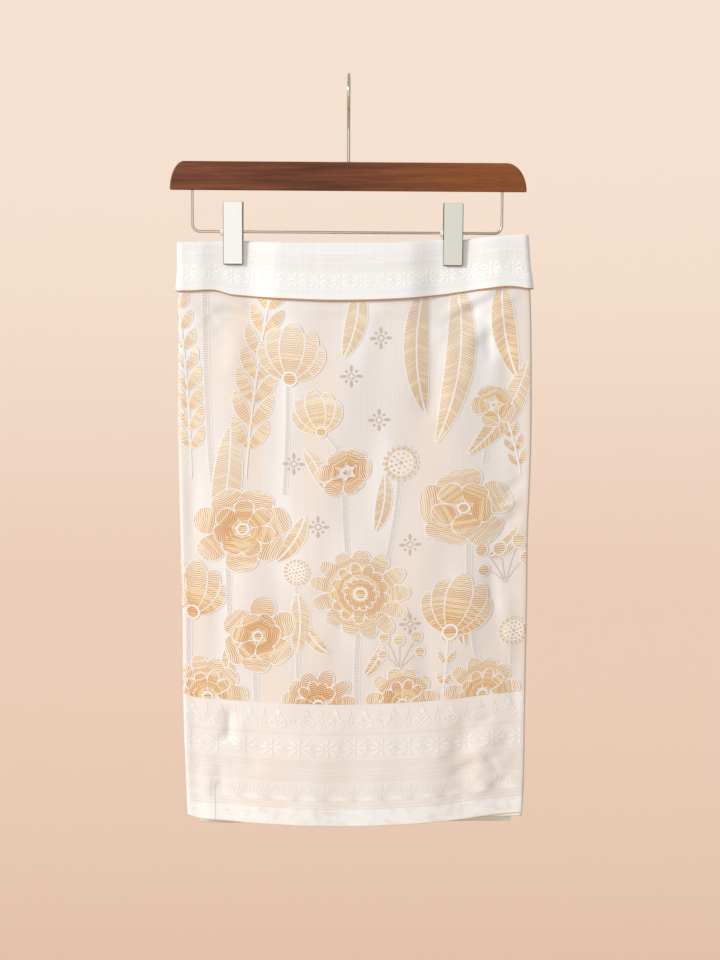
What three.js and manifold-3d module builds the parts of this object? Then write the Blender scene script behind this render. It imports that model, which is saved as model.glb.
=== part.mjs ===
import * as THREE from 'three';
import { mergeVertices } from 'three/addons/utils/BufferGeometryUtils.js';
import Module from 'manifold-3d';

// A pre-shaped sampin clipped to a wooden trouser hanger.
// Millimetres, +Z up, the front faces -Y, and the origin is where a rail bears on the inside of the hook.

// Cloth
const wall = 1.2;
const seamGap = 0.3;
const layerStep = wall + seamGap;
const foldRadius = 3;
const hemHeight = 21.5;
const hemExtra = 0.4;
const hemRounding = 0.4;
const edgeHemExtra = 0.3;
const cuffStandOff = 1.8;
const clippedHalfDepth = 0.8;
const clippedHalfWidth = 14;
const clippedBottom = -206;
const clipPull = { aside: 36, below: 110 };
const cuffMiddle = -200;
const cuffHeldIn = 0.7;

// Hanger
const hangerTilt = THREE.MathUtils.degToRad(0.4);
const barLength = 381;
const barTop = -90.3;
const barBottom = -121;
const barThickness = 14;
const barChamfer = 1.5;
const barEnds = { left: 15.5, right: 22 };
const hookWire = { radius: 1.85, sides: 8 };
const hookBowRadius = 19.85;
const hookTip = 9;
const hookTurn = THREE.MathUtils.degToRad(50);
const hookDepthInBar = 16;
const railWire = { radius: 1.5, sides: 8 };
const railBottom = -165;
const railCentre = -1;
const railHalfWidth = 165.8;
const railBend = 8;
const railDepthInBar = 12;

// Clips
const clipWidth = 21;
const clipTop = -133;
const clipBottom = -200;
const plateThickness = 1.2;
const plateSplay = 2.2;
const padHeight = 11;
const padThickness = 1;
const padWidth = 19;
const padInset = 1;
const springRadius = 3.9;
const ear = { thickness: 1, reach: 3.2, rootTop: -157, rootBottom: -172, tipHalf: 3.2 };
const collar = { width: 3, radius: 4 };
const clips = [
  { name: 'left', x: -123, clothX: -124.2 },
  { name: 'right', x: 112.6, clothX: 111.4 },
];

// The tube of cloth at each level: where its two side folds lie, and half its depth at the middle
const levels = [
  { z: -166, left: -182.2, right: 189.6, depth: 6 },
  { z: -237, left: -182.6, right: 194.6, depth: 8.5 },
  { z: -345, left: -184.5, right: 197, depth: 12 },
  { z: -422, left: -184.3, right: 196.5, depth: 13 },
  { z: -488, left: -183.6, right: 194.4, depth: 13.5 },
  { z: -566, left: -182.4, right: 194.3, depth: 14 },
  { z: -690, left: -182.5, right: 193.4, depth: 15 },
  { z: -770, left: -180.6, right: 193, depth: 16 },
  { z: -825, left: -178.6, right: 190.5, depth: 16 },
];

// Heights across the garment: the top fold, the cuff's lower edge, and the hem of each layer
const heights = [
  { x: -184, top: -175.2, cuff: -227.6, frontHem: -808.5, underHem: -806, backHem: -815 },
  { x: -172, top: -175, cuff: -227.3, frontHem: -812.6, underHem: -809, backHem: -819.2 },
  { x: -145, top: -174.6, cuff: -226.8, frontHem: -814, underHem: -810, backHem: -821 },
  { x: -125, top: -174.1, cuff: -231.9, frontHem: -815.2, underHem: -812, backHem: -822 },
  { x: -53, top: -175.2, cuff: -236.2, frontHem: -817.8, underHem: -815, backHem: -823 },
  { x: -5, top: -175.2, cuff: -237.2, frontHem: -818.4, underHem: -815.5, backHem: -823.5 },
  { x: 50, top: -175.2, cuff: -235.6, frontHem: -816.8, underHem: -814, backHem: -823 },
  { x: 98, top: -173, cuff: -231.9, frontHem: -814, underHem: -811.5, backHem: -821.5 },
  { x: 122, top: -173.3, cuff: -228.5, frontHem: -812, underHem: -811, backHem: -820.5 },
  { x: 143, top: -170.2, cuff: -225.3, frontHem: -809.6, underHem: -810.5, backHem: -819 },
  { x: 170, top: -167.8, cuff: -222.4, frontHem: -807.3, underHem: -810.5, backHem: -818.5 },
  { x: 197, top: -166.5, cuff: -226, frontHem: -805.5, underHem: -810, backHem: -817 },
];

// Soft folds: out is how far one stands out, or goes in where it is below 0, and lean is its drift in x
const frontFolds = [
  { x: -128, top: -236, bottom: -520, width: 24, out: 1.4, lean: -14 },
  { x: -84, top: -240, bottom: -700, width: 30, out: -1.5, lean: 10 },
  { x: -14, top: -240, bottom: -610, width: 34, out: 1.3, lean: -16 },
  { x: 44, top: -300, bottom: -800, width: 30, out: -1.4, lean: 8 },
  { x: 94, top: -262, bottom: -372, width: 17, out: -1.8, lean: -6 },
  { x: 143, top: -240, bottom: -300, width: 16, out: -1.7, lean: 10 },
  { x: 122, top: -330, bottom: -640, width: 26, out: 1.5, lean: 14 },
  { x: 118, top: -700, bottom: -818, width: 18, out: -2, lean: 16 },
  { x: 152, top: -690, bottom: -800, width: 15, out: 1.8, lean: -10 },
  { x: -142, top: -660, bottom: -818, width: 18, out: -1.6, lean: 6 },
  { x: -52, top: -700, bottom: -830, width: 28, out: 1.4, lean: 8 },
];
const backFolds = [
  { x: 118, top: -236, bottom: -560, width: 26, out: 1.6, lean: 14 },
  { x: 70, top: -240, bottom: -690, width: 30, out: -1.6, lean: -12 },
  { x: 6, top: -240, bottom: -640, width: 36, out: 1.4, lean: 12 },
  { x: -62, top: -280, bottom: -810, width: 30, out: -1.5, lean: -6 },
  { x: -124, top: -240, bottom: -480, width: 22, out: 1.5, lean: -12 },
  { x: -132, top: -640, bottom: -830, width: 20, out: -1.7, lean: 8 },
  { x: 134, top: -660, bottom: -830, width: 22, out: -1.8, lean: 8 },
  { x: 40, top: -700, bottom: -840, width: 28, out: 1.5, lean: 10 },
];

// Places round the tube: 0 to 1 across the front, to 2 round the right fold, to 3 across the back,
// to 4 round the left fold, so the same loop also runs from -1 back round the left fold
const leftSeam = -1.02;
const rightSeam = 2.02;
const underEdge = 0.07;
const flapEdge = 1.12;
const edgeHemStart = 0.983;
const stepIn = { from: 0.015, to: 0.065 };
const cuffEnd = 1.06;
const flatWidth = 373;
const seamPlace = seamGap / flatWidth;
const frontPlaces = [
  0, 0.018, 0.05, underEdge, 0.092, 0.1145, 0.15, 0.186, 0.236, 0.287, 0.338, 0.389, 0.44, 0.491, 0.542,
  0.593, 0.644, 0.695, 0.743, 0.78, 0.817, 0.852, 0.887, 0.92, 0.945, 0.966, edgeHemStart, 1,
];
const backPlaces = [
  2.1, 2.14, 2.183, 2.22, 2.257, 2.33, 2.4, 2.47, 2.54, 2.61, 2.68, 2.75, 2.814, 2.85, 2.8855, 2.93,
];
const foldPlaces = [0.25, 0.5, 0.75];
const cuffFractions = [0.25, 0.5, 0.75, 1];
const panelLevels = [-252, -276, -304, -338, -380, -428, -476, -524, -578, -632, -686, -728, -766];

const clamp = THREE.MathUtils.clamp;
const lerp = THREE.MathUtils.lerp;
const smooth = (value) => THREE.MathUtils.smoothstep(value, 0, 1);

// A column of a table at a value of another column, on a smooth line through its rows
function along(table, by, at, column) {
  const rising = table[table.length - 1][by] > table[0][by] ? 1 : -1;
  let row = 0;
  while (row < table.length - 2 && (at - table[row + 1][by]) * rising > 0) row += 1;
  const from = table[row];
  const to = table[row + 1];
  const before = table[Math.max(row - 1, 0)];
  const after = table[Math.min(row + 2, table.length - 1)];
  const span = to[by] - from[by];
  const part = clamp((at - from[by]) / span, 0, 1);
  const slopeFrom = (to[column] - before[column]) / (to[by] - before[by]) * span;
  const slopeTo = (after[column] - from[column]) / (after[by] - from[by]) * span;
  const square = part * part;
  const cube = square * part;
  return (2 * cube - 3 * square + 1) * from[column] + (cube - 2 * square + part) * slopeFrom
    + (3 * square - 2 * cube) * to[column] + (cube - square) * slopeTo;
}

// How far a fold stands out at a point; it rises and dies away over the quarter of its length at each end
function foldOut(fold, x, z) {
  const down = (fold.top - z) / (fold.top - fold.bottom);
  if (down <= 0 || down >= 1) return 0;
  const across = (x - fold.x - fold.lean * down) / fold.width;
  return fold.out * Math.exp(-across * across) * smooth(Math.min(down, 1 - down) * 4);
}

// 1 where a clip holds the layers flat, down to 0 away from it
function clipGrip(clip, x, z) {
  const aside = 1 - smooth((Math.abs(x - clip.clothX) - clippedHalfWidth) / clipPull.aside);
  const below = 1 - smooth((clippedBottom - z) / clipPull.below);
  return aside * below;
}

// Half the depth of the tube at a point, on the side whose folds are given
function halfDepth(x, z, folds) {
  const left = along(levels, 'z', z, 'left') + foldRadius;
  const right = along(levels, 'z', z, 'right') - foldRadius;
  const across = clamp((2 * x - left - right) / (right - left), -1, 1);
  const swell = (1 - Math.abs(across) ** 3) ** 2;
  let depth = lerp(foldRadius, along(levels, 'z', z, 'depth'), swell);
  for (const fold of folds) depth += foldOut(fold, x, z) * (1 - across ** 6);
  for (const clip of clips) depth = lerp(depth, clippedHalfDepth, clipGrip(clip, x, z));
  return depth;
}

// A point of the tube's inner face, moved out from it by an offset
function loopPoint(place, z, offset) {
  const turn = ((place % 4) + 4) % 4;
  const left = along(levels, 'z', z, 'left') + foldRadius;
  const right = along(levels, 'z', z, 'right') - foldRadius;
  if (turn >= 1 && turn < 2) {
    const angle = (turn - 1.5) * Math.PI;
    const radius = foldRadius + offset;
    return new THREE.Vector3(right + radius * Math.cos(angle), radius * Math.sin(angle), z);
  }
  if (turn >= 3) {
    const angle = (turn - 2.5) * Math.PI;
    const radius = foldRadius + offset;
    return new THREE.Vector3(left + radius * Math.cos(angle), radius * Math.sin(angle), z);
  }
  const isFront = turn < 1;
  const folds = isFront ? frontFolds : backFolds;
  const x = lerp(left, right, isFront ? turn : 3 - turn);
  const facing = isFront ? -1 : 1;
  const slope = halfDepth(x + 0.5, z, folds) - halfDepth(x - 0.5, z, folds);
  const out = new THREE.Vector2(-slope, facing).normalize();
  return new THREE.Vector3(x + out.x * offset, facing * halfDepth(x, z, folds) + out.y * offset, z);
}

// A height of the garment at a place round it
function heightAt(place, column) {
  return along(heights, 'x', loopPoint(place, cuffMiddle, 0).x, column);
}

// How far each layer's inner face lies out from the tube
function outerFlapOffset(place) {
  return layerStep * smooth((place - stepIn.from) / (stepIn.to - stepIn.from));
}
function frontCuffOffset(place) {
  return outerFlapOffset(place) + layerStep;
}
function backCuffOffset() {
  return layerStep;
}
function againstTube() {
  return 0;
}

// Radius of the turn over the top, which spans every layer of its side
function topTurn(place, cuffOffset) {
  return (cuffOffset(place) + wall) / 2;
}

// A closed solid between two grids of points that match
function closedWall(outer, inner) {
  const rows = outer.length;
  const columns = outer[0].length;
  const points = [...outer.flat(), ...inner.flat()];
  const indices = [];
  const quad = (a, b, c, d) => indices.push(a, b, c, a, c, d);
  const outerAt = (row, column) => row * columns + column;
  const innerAt = (row, column) => (rows + row) * columns + column;
  for (let row = 0; row < rows - 1; row += 1) {
    const next = row + 1;
    for (let column = 0; column < columns - 1; column += 1) {
      const beside = column + 1;
      quad(outerAt(row, column), outerAt(next, column), outerAt(next, beside), outerAt(row, beside));
      quad(innerAt(row, column), innerAt(row, beside), innerAt(next, beside), innerAt(next, column));
    }
    const last = columns - 1;
    quad(outerAt(row, 0), innerAt(row, 0), innerAt(next, 0), outerAt(next, 0));
    quad(outerAt(row, last), outerAt(next, last), innerAt(next, last), innerAt(row, last));
  }
  for (let column = 0; column < columns - 1; column += 1) {
    const last = rows - 1;
    const beside = column + 1;
    quad(outerAt(0, column), outerAt(0, beside), innerAt(0, beside), innerAt(0, column));
    quad(outerAt(last, column), innerAt(last, column), innerAt(last, beside), outerAt(last, beside));
  }
  const geometry = new THREE.BufferGeometry().setFromPoints(points);
  geometry.setIndex(indices);
  geometry.computeVertexNormals();
  return geometry;
}

// Cloth over some places: each row gives the height and the offset of its outer and its inner face
function clothWall(places, rows) {
  const face = (side) => rows.map((row) => places.map((place) => {
    const { z, offset } = row(place)[side];
    return loopPoint(place, z, offset);
  }));
  return closedWall(face('outer'), face('inner'));
}

function levelRow(heightOf, innerOf, outerOf) {
  return (place) => {
    const z = heightOf(place);
    return { outer: { z, offset: outerOf(place) }, inner: { z, offset: innerOf(place) } };
  };
}

// Rows of a panel, from under the turn at the top to just above its hem
function panelRows(offsetOf, cuffOffsetOf, hemColumn, extra = 0) {
  const outerOf = (place) => offsetOf(place) + wall;
  const thickOf = (place) => outerOf(place) + extra;
  const underTurn = (place) => heightAt(place, 'top') - topTurn(place, cuffOffsetOf) - seamGap;
  const cuffZ = (place, part) => lerp(heightAt(place, 'top'), heightAt(place, 'cuff'), part);
  return [
    levelRow(underTurn, offsetOf, outerOf),
    ...cuffFractions.map((part) => levelRow((place) => cuffZ(place, part), offsetOf, outerOf)),
    ...panelLevels.map((z) => levelRow(() => z, offsetOf, thickOf)),
    levelRow((place) => heightAt(place, hemColumn) + hemHeight + seamGap, offsetOf, thickOf),
  ];
}

// Rows of a hem, a little thicker than the panel and rounded off along its lower edge
function hemRows(offsetOf, hemColumn, extraOut, extraIn) {
  const row = (up, rounding) => levelRow(
    (place) => heightAt(place, hemColumn) + up,
    (place) => offsetOf(place) - extraIn + rounding,
    (place) => offsetOf(place) + wall + extraOut - rounding,
  );
  return [row(hemHeight, 0), row(hemRounding * 2, 0), row(0, hemRounding)];
}

// Rows of a cuff, from the inside over the turn at the top and down to its lower edge
function cuffRows(cuffOffsetOf) {
  const standOff = (place, part) => {
    const { x } = loopPoint(place, cuffMiddle, 0);
    const grip = Math.max(...clips.map((clip) => clipGrip(clip, x, cuffMiddle)));
    return cuffStandOff * smooth(part * 2 - 1) * (1 - cuffHeldIn * grip);
  };
  const leaf = cuffFractions.map((part) => levelRow(
    (place) => lerp(heightAt(place, 'top'), heightAt(place, 'cuff'), part),
    (place) => cuffOffsetOf(place) + standOff(place, part),
    (place) => cuffOffsetOf(place) + standOff(place, part) + wall,
  ));
  const turn = [180, 135, 90, 45, 0].map((degrees) => (place) => {
    const angle = THREE.MathUtils.degToRad(degrees);
    const radius = topTurn(place, cuffOffsetOf);
    const centre = heightAt(place, 'top') - radius;
    const at = (length) => ({
      z: centre + length * Math.sin(angle),
      offset: radius + length * Math.cos(angle),
    });
    return { outer: at(radius), inner: at(radius - wall) };
  });
  return [...turn, ...leaf];
}

const roundLeftFold = [leftSeam, ...[1, ...[...foldPlaces].reverse()].map((part) => -part)];
const roundRightFold = [...foldPlaces.map((part) => 1 + part), 2, rightSeam];
const placesFrom = (places, start) => places.filter((place) => place >= start);
const placesTo = (places, end) => places.filter((place) => place < end);
const outerFlapPlaces = [...roundLeftFold, ...frontPlaces, cuffEnd, flapEdge];
const underPlaces = [...placesFrom(frontPlaces, underEdge), cuffEnd, flapEdge, ...roundRightFold];
const backSpan = [rightSeam + seamPlace, ...backPlaces, leftSeam + 4 - seamPlace];

// Finishes
const finish = (color, roughness, metalness) => (
  new THREE.MeshStandardMaterial({ color, roughness, metalness }));
const brocade = finish(0xeadccf, 0.55, 0);
const brocadeBorder = finish(0xf1e7de, 0.5, 0);
const walnut = finish(0x774831, 0.55, 0);
const nickel = finish(0xdad8cf, 0.35, 1);
const steel = finish(0xb9b4ab, 0.3, 1);
const rubber = finish(0xece8e0, 0.8, 0);

const group = new THREE.Group();
const hanger = new THREE.Group();
hanger.rotation.y = hangerTilt;
group.add(hanger);

function addPiece(parent, name, geometry, material) {
  const mesh = new THREE.Mesh(geometry, material);
  mesh.name = name;
  parent.add(mesh);
}

// The cloth
function addPanels() {
  const flapRows = panelRows(outerFlapOffset, frontCuffOffset, 'frontHem');
  const edgeRows = panelRows(outerFlapOffset, frontCuffOffset, 'frontHem', edgeHemExtra);
  const underRows = panelRows(againstTube, frontCuffOffset, 'underHem');
  const backRows = panelRows(againstTube, backCuffOffset, 'backHem');
  const flapPlaces = [...placesTo(outerFlapPlaces, edgeHemStart), edgeHemStart - seamPlace];
  const edgePlaces = placesFrom(outerFlapPlaces, edgeHemStart);
  addPiece(group, 'front_panel', clothWall(flapPlaces, flapRows), brocade);
  addPiece(group, 'front_edge_hem', clothWall(edgePlaces, edgeRows), brocade);
  addPiece(group, 'under_panel', clothWall(underPlaces, underRows), brocade);
  addPiece(group, 'back_panel', clothWall(backSpan, backRows), brocade);
}

function addHems() {
  addPiece(group, 'front_hem',
    clothWall(outerFlapPlaces, hemRows(outerFlapOffset, 'frontHem', hemExtra, 0)), brocadeBorder);
  addPiece(group, 'under_hem',
    clothWall(underPlaces, hemRows(againstTube, 'underHem', 0, hemExtra)), brocadeBorder);
  addPiece(group, 'back_hem',
    clothWall(backSpan, hemRows(againstTube, 'backHem', hemExtra, 0)), brocadeBorder);
}

function addCuffs() {
  const frontCuffPlaces = placesTo(outerFlapPlaces, flapEdge);
  const backCuffPlaces = [
    flapEdge + 0.03, ...foldPlaces.map((part) => 1 + part), 2, ...backSpan,
  ];
  addPiece(group, 'front_cuff', clothWall(frontCuffPlaces, cuffRows(frontCuffOffset)), brocadeBorder);
  addPiece(group, 'back_cuff', clothWall(backCuffPlaces, cuffRows(backCuffOffset)), brocadeBorder);
}

// A curve through chosen points, so that a tube along it has a ring at each of them
class ChosenPath extends THREE.Curve {
  constructor(points) {
    super();
    this.points = points;
  }

  getPoint(part, target = new THREE.Vector3()) {
    const along = part * (this.points.length - 1);
    const step = Math.min(Math.floor(along), this.points.length - 2);
    return target.lerpVectors(this.points[step], this.points[step + 1], along - step);
  }

  getPointAt(part, target) {
    return this.getPoint(part, target);
  }

  getTangentAt(part, target = new THREE.Vector3()) {
    const last = this.points.length - 1;
    const step = Math.round(part * last);
    const before = this.points[Math.max(step - 1, 0)];
    const after = this.points[Math.min(step + 1, last)];
    return target.subVectors(after, before).normalize();
  }
}

function ring(radius, sides) {
  const shape = new THREE.Shape();
  for (let side = 0; side < sides; side += 1) {
    const angle = 2 * Math.PI * side / sides;
    const corner = [radius * Math.cos(angle), radius * Math.sin(angle)];
    if (side === 0) shape.moveTo(...corner);
    else shape.lineTo(...corner);
  }
  shape.closePath();
  return shape;
}

function tubeAlong(points, wire) {
  const extrudePath = new ChosenPath(points);
  const section = ring(wire.radius, wire.sides);
  return new THREE.ExtrudeGeometry(section, { steps: points.length - 1, extrudePath });
}

// Points of an arc in the plane of two axes, from one angle to another
function arc(centre, radius, from, to, steps, place) {
  return Array.from({ length: steps + 1 }, (_, step) => {
    const angle = lerp(from, to, step / steps);
    return place(centre[0] + radius * Math.cos(angle), centre[1] + radius * Math.sin(angle));
  });
}

// The hook: its bow crosses the bar, and its shank comes back under the crown
function hookPoints() {
  const place = (y, z) => new THREE.Vector3(0, y, z);
  const bowCentre = [0, hookWire.radius - hookBowRadius];
  const bowEnd = Math.PI + hookTurn;
  const bow = arc(bowCentre, hookBowRadius, 0, bowEnd, 20, place);
  const neckRadius = hookBowRadius * Math.cos(hookTurn) / (1 - Math.cos(hookTurn));
  const neckTop = bow[bow.length - 1];
  const neckCentre = [-neckRadius, neckTop.z - neckRadius * Math.sin(hookTurn)];
  const neck = arc(neckCentre, neckRadius, hookTurn, 0, 6, place).slice(1);
  return [place(hookBowRadius, bowCentre[1] - hookTip), ...bow, ...neck, place(0, barTop - hookDepthInBar)];
}

function railPoints() {
  const place = (x, z) => new THREE.Vector3(x, 0, z);
  const left = railCentre - railHalfWidth;
  const right = railCentre + railHalfWidth;
  const bendZ = railBottom + railBend;
  const top = barBottom + railDepthInBar;
  const leftBend = arc([left + railBend, bendZ], railBend, Math.PI, 1.5 * Math.PI, 5, place);
  const rightBend = arc([right - railBend, bendZ], railBend, 1.5 * Math.PI, 2 * Math.PI, 5, place);
  return [place(left, top), ...leftBend, ...rightBend, place(right, top)];
}

const wasm = await Module();
wasm.setup();

// Three.js geometry as a manifold-3d solid, and back
function toSolid(geometry) {
  const bare = geometry.clone();
  bare.deleteAttribute('normal');
  bare.deleteAttribute('uv');
  const merged = mergeVertices(bare, 1e-3);
  return new wasm.Manifold(new wasm.Mesh({
    numProp: 3,
    vertProperties: new Float32Array(merged.getAttribute('position').array),
    triVerts: new Uint32Array(merged.index.array),
  }));
}

function toGeometry(solid) {
  const mesh = solid.getMesh();
  const geometry = new THREE.BufferGeometry();
  geometry.setAttribute('position', new THREE.Float32BufferAttribute(mesh.vertProperties, 3));
  geometry.setIndex([...mesh.triVerts]);
  geometry.computeVertexNormals();
  return geometry;
}

// The bar: rounded ends, small chamfers, and blind holes for the hook and the rail
function barGeometry() {
  const half = barLength / 2;
  const height = barTop - barBottom;
  const outline = new THREE.Shape();
  const end = (side, run, from, to) => arc([0, 0], 1, from, to, 8, (across, up) => (
    new THREE.Vector2(side * (half - run) + run * across, barBottom + height * up)));
  outline.setFromPoints([
    ...end(1, barEnds.right, 0, Math.PI / 2),
    ...end(-1, barEnds.left, Math.PI / 2, Math.PI),
  ]);
  const block = new THREE.ExtrudeGeometry(outline, {
    depth: barThickness - 2 * barChamfer,
    bevelThickness: barChamfer,
    bevelSize: barChamfer,
    bevelOffset: -barChamfer,
    bevelSegments: 2,
  });
  block.translate(0, 0, barChamfer - barThickness / 2);
  block.rotateX(Math.PI / 2);
  const hole = (wire, x, from, to) => {
    const bore = new THREE.CylinderGeometry(wire.radius + seamGap, wire.radius + seamGap, to - from, 12);
    bore.rotateX(Math.PI / 2);
    bore.translate(x, 0, (from + to) / 2);
    return toSolid(bore);
  };
  const railHoleTop = barBottom + railDepthInBar + seamGap;
  const cut = toSolid(block)
    .subtract(hole(hookWire, 0, barTop - hookDepthInBar - seamGap, barTop + 1))
    .subtract(hole(railWire, railCentre - railHalfWidth, barBottom - 1, railHoleTop))
    .subtract(hole(railWire, railCentre + railHalfWidth, barBottom - 1, railHoleTop));
  return toGeometry(cut);
}

// One clip: two straight plates hinged by their ears on the rail, with a spring between them
function plateProfile(jaw) {
  const inner = [[jaw + plateSplay, clipTop], [jaw, clipBottom]];
  const outer = inner.map(([y, z]) => [y + plateThickness, z]).reverse();
  return [...inner, ...outer];
}

function extrudeAcross(corners, width, centre, hole) {
  const shape = new THREE.Shape(corners.map(([y, z]) => new THREE.Vector2(y, z)));
  if (hole) shape.holes.push(hole);
  const geometry = new THREE.ExtrudeGeometry(shape, { depth: width, bevelEnabled: false });
  geometry.translate(0, 0, -width / 2);
  geometry.applyMatrix4(new THREE.Matrix4().makeBasis(
    new THREE.Vector3(0, 1, 0), new THREE.Vector3(0, 0, 1), new THREE.Vector3(1, 0, 0)));
  geometry.translate(centre, 0, 0);
  return geometry;
}

function plateGeometry(clip, facing, jaw, earFrom) {
  const bore = railWire.radius + seamGap;
  const corners = plateProfile(jaw).map(([y, z]) => [facing * y, z]);
  let plate = toSolid(extrudeAcross(corners, clipWidth, clip.x));
  const rootAt = (z) => -(jaw + plateThickness / 2 + plateSplay * (z - clipBottom) / (clipTop - clipBottom));
  const earCorners = [
    [rootAt(ear.rootTop), ear.rootTop], [ear.reach, railBottom + ear.tipHalf],
    [ear.reach, railBottom - ear.tipHalf], [rootAt(ear.rootBottom), ear.rootBottom],
  ];
  for (const side of [-1, 1]) {
    const round = arc([0, railBottom], bore, 0, 2 * Math.PI, 12, (y, z) => new THREE.Vector2(y, z));
    const hole = new THREE.Path(round.slice(0, -1));
    const earX = clip.x + side * (earFrom + ear.thickness / 2);
    const flap = earCorners.map(([y, z]) => [-facing * y, z]);
    plate = plate.add(toSolid(extrudeAcross(flap, ear.thickness, earX, hole)));
  }
  return toGeometry(plate);
}

// A ring round the rail
function ringOnRail(inner, outer, width, x) {
  const profile = [[inner, -1], [outer, -1], [outer, 1], [inner, 1], [inner, -1]]
    .map(([radius, end]) => new THREE.Vector2(radius, end * width / 2));
  const geometry = new THREE.LatheGeometry(profile, 12);
  geometry.rotateZ(-Math.PI / 2);
  geometry.translate(x, 0, railBottom);
  return geometry;
}

function addClip(clip) {
  const frontFace = clippedHalfDepth + 2 * layerStep + wall;
  const backFace = clippedHalfDepth + layerStep + wall;
  const outerEar = clipWidth / 2 - ear.thickness;
  const innerEar = outerEar - ear.thickness - seamGap;
  const padZ = clipBottom + padInset + padHeight / 2;
  const sides = [
    { side: 'front', facing: -1, cloth: frontFace, earFrom: outerEar },
    { side: 'back', facing: 1, cloth: backFace, earFrom: innerEar },
  ];
  for (const { side, facing, cloth, earFrom } of sides) {
    const jaw = cloth + padThickness + 2 * seamGap;
    addPiece(hanger, `${clip.name}_clip_${side}_plate`, plateGeometry(clip, facing, jaw, earFrom), nickel);
    const pad = new THREE.BoxGeometry(padWidth, padThickness, padHeight);
    pad.translate(clip.x, facing * (cloth + seamGap + padThickness / 2), padZ);
    addPiece(hanger, `${clip.name}_clip_${side}_pad`, pad, rubber);
  }
  const bore = railWire.radius + seamGap;
  const springWidth = 2 * (innerEar - seamGap);
  const spring = ringOnRail(bore, springRadius, springWidth, clip.x);
  addPiece(hanger, `${clip.name}_clip_spring`, spring, steel);
  const collarX = clip.x - clipWidth / 2 - seamGap - collar.width / 2;
  const collarRing = ringOnRail(bore, collar.radius, collar.width, collarX);
  addPiece(hanger, `${clip.name}_clip_collar`, collarRing, rubber);
}

function addHanger() {
  addPiece(hanger, 'hanger_bar', barGeometry(), walnut);
  addPiece(hanger, 'hanger_hook', tubeAlong(hookPoints(), hookWire), steel);
  addPiece(hanger, 'clip_rail', tubeAlong(railPoints(), railWire), steel);
  clips.forEach(addClip);
}

addPanels();
addHems();
addCuffs();
addHanger();

export default group;
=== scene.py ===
import math

import bmesh
import bpy
import numpy as np
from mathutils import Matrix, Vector


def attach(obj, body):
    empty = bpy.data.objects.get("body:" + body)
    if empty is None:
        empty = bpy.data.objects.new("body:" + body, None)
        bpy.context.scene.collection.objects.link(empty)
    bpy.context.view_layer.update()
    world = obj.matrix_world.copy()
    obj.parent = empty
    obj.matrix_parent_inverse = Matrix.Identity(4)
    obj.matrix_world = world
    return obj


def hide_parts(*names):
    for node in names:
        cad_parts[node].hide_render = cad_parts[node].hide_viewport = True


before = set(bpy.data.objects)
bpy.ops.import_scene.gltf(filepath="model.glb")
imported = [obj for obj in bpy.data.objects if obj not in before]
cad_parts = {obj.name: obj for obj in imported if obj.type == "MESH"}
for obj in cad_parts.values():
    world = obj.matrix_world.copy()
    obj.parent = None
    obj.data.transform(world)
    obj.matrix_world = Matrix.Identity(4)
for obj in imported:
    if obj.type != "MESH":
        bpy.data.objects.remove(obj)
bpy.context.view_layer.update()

scene = bpy.context.scene
mm = 0.001


def table(columns, *rows):
    return [dict(zip(columns.split(), row)) for row in rows]


# Sizes below are in millimetres, in the frame's own axes: +Z up, the front faces -Y.
# The camera looks down a little, so upright edges draw together towards the hem.
camera = {"distance": 2300, "tilt": 8.0, "aimX": 11.7, "aimZ": -433.1, "lens": 79.1}

cloth = {
    "wall": 1.2,            # the solid's wall, which one sheet and its turned hem share
    "gap": 0.3,
    "sheet": 0.45,          # the cloth itself
    "foldRadius": 3.0,
    "hemHeight": 21.5,
    "grid": 2.7,            # spacing of the front's mesh
    "backGrid": 3.1,        # of the back's
    "hiddenGrid": 4.5,      # and of the layer between them
    "foldGrid": 1.6,        # and round the side folds
    "flatWidth": 373,       # about the width between the side folds
    "foldArc": 13,          # about the arc round a side fold, at the wall's outer face
    "drop": 640,            # about the panels' height, by which their rows are spaced
    "aboveFold": 0.6,       # a panel ends this far above the turn of its hem
    "hemSheet": 0.8,        # the turned hems' share of the sheet's thickness
    "standOff": 1.8,        # the cuff's lower edge
    "heldIn": 0.7,
    "cuffMiddle": -200,
}
grip = {"halfDepth": 0.8, "halfWidth": 14, "bottom": -206, "aside": 36, "below": 110}
# tone: both clips are the same nickel; the right one is painted in shade
clips = table("name x clothX tone",
    ("left", -123, -124.2, "bright"),
    ("right", 112.6, 111.4, "dull"),
)

# The tube of cloth at each level: its side folds and half its depth at the middle
levels = table("z left right depth",
    (-166, -182.2, 189.6, 6),
    (-237, -182.6, 194.6, 8.5),
    (-345, -184.5, 197, 12),
    (-422, -184.3, 196.5, 13),
    (-488, -183.6, 194.4, 13.5),
    (-566, -182.4, 194.3, 14),
    (-690, -182.5, 193.4, 15),
    (-770, -180.6, 193, 16),
    (-825, -178.6, 190.5, 16),
)

# Heights across it: the top fold, the cuff's lower edge and each layer's hem
heights = table("x top cuff frontHem underHem backHem",
    (-184, -175.2, -227.6, -808.5, -806, -815),
    (-172, -175, -227.3, -812.6, -809, -819.2),
    (-145, -174.6, -226.8, -814, -810, -821),
    (-125, -174.1, -231.9, -815.2, -812, -822),
    (-53, -175.2, -236.2, -817.8, -815, -823),
    (-5, -175.2, -237.2, -818.4, -815.5, -823.5),
    (50, -175.2, -235.6, -816.8, -814, -823),
    (98, -173, -231.9, -814, -811.5, -821.5),
    (122, -173.3, -228.5, -812, -811, -820.5),
    (143, -170.2, -225.3, -809.6, -810.5, -819),
    (170, -167.8, -222.4, -807.3, -810.5, -818.5),
    (197, -166.5, -226, -805.5, -810, -817),
)

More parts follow.
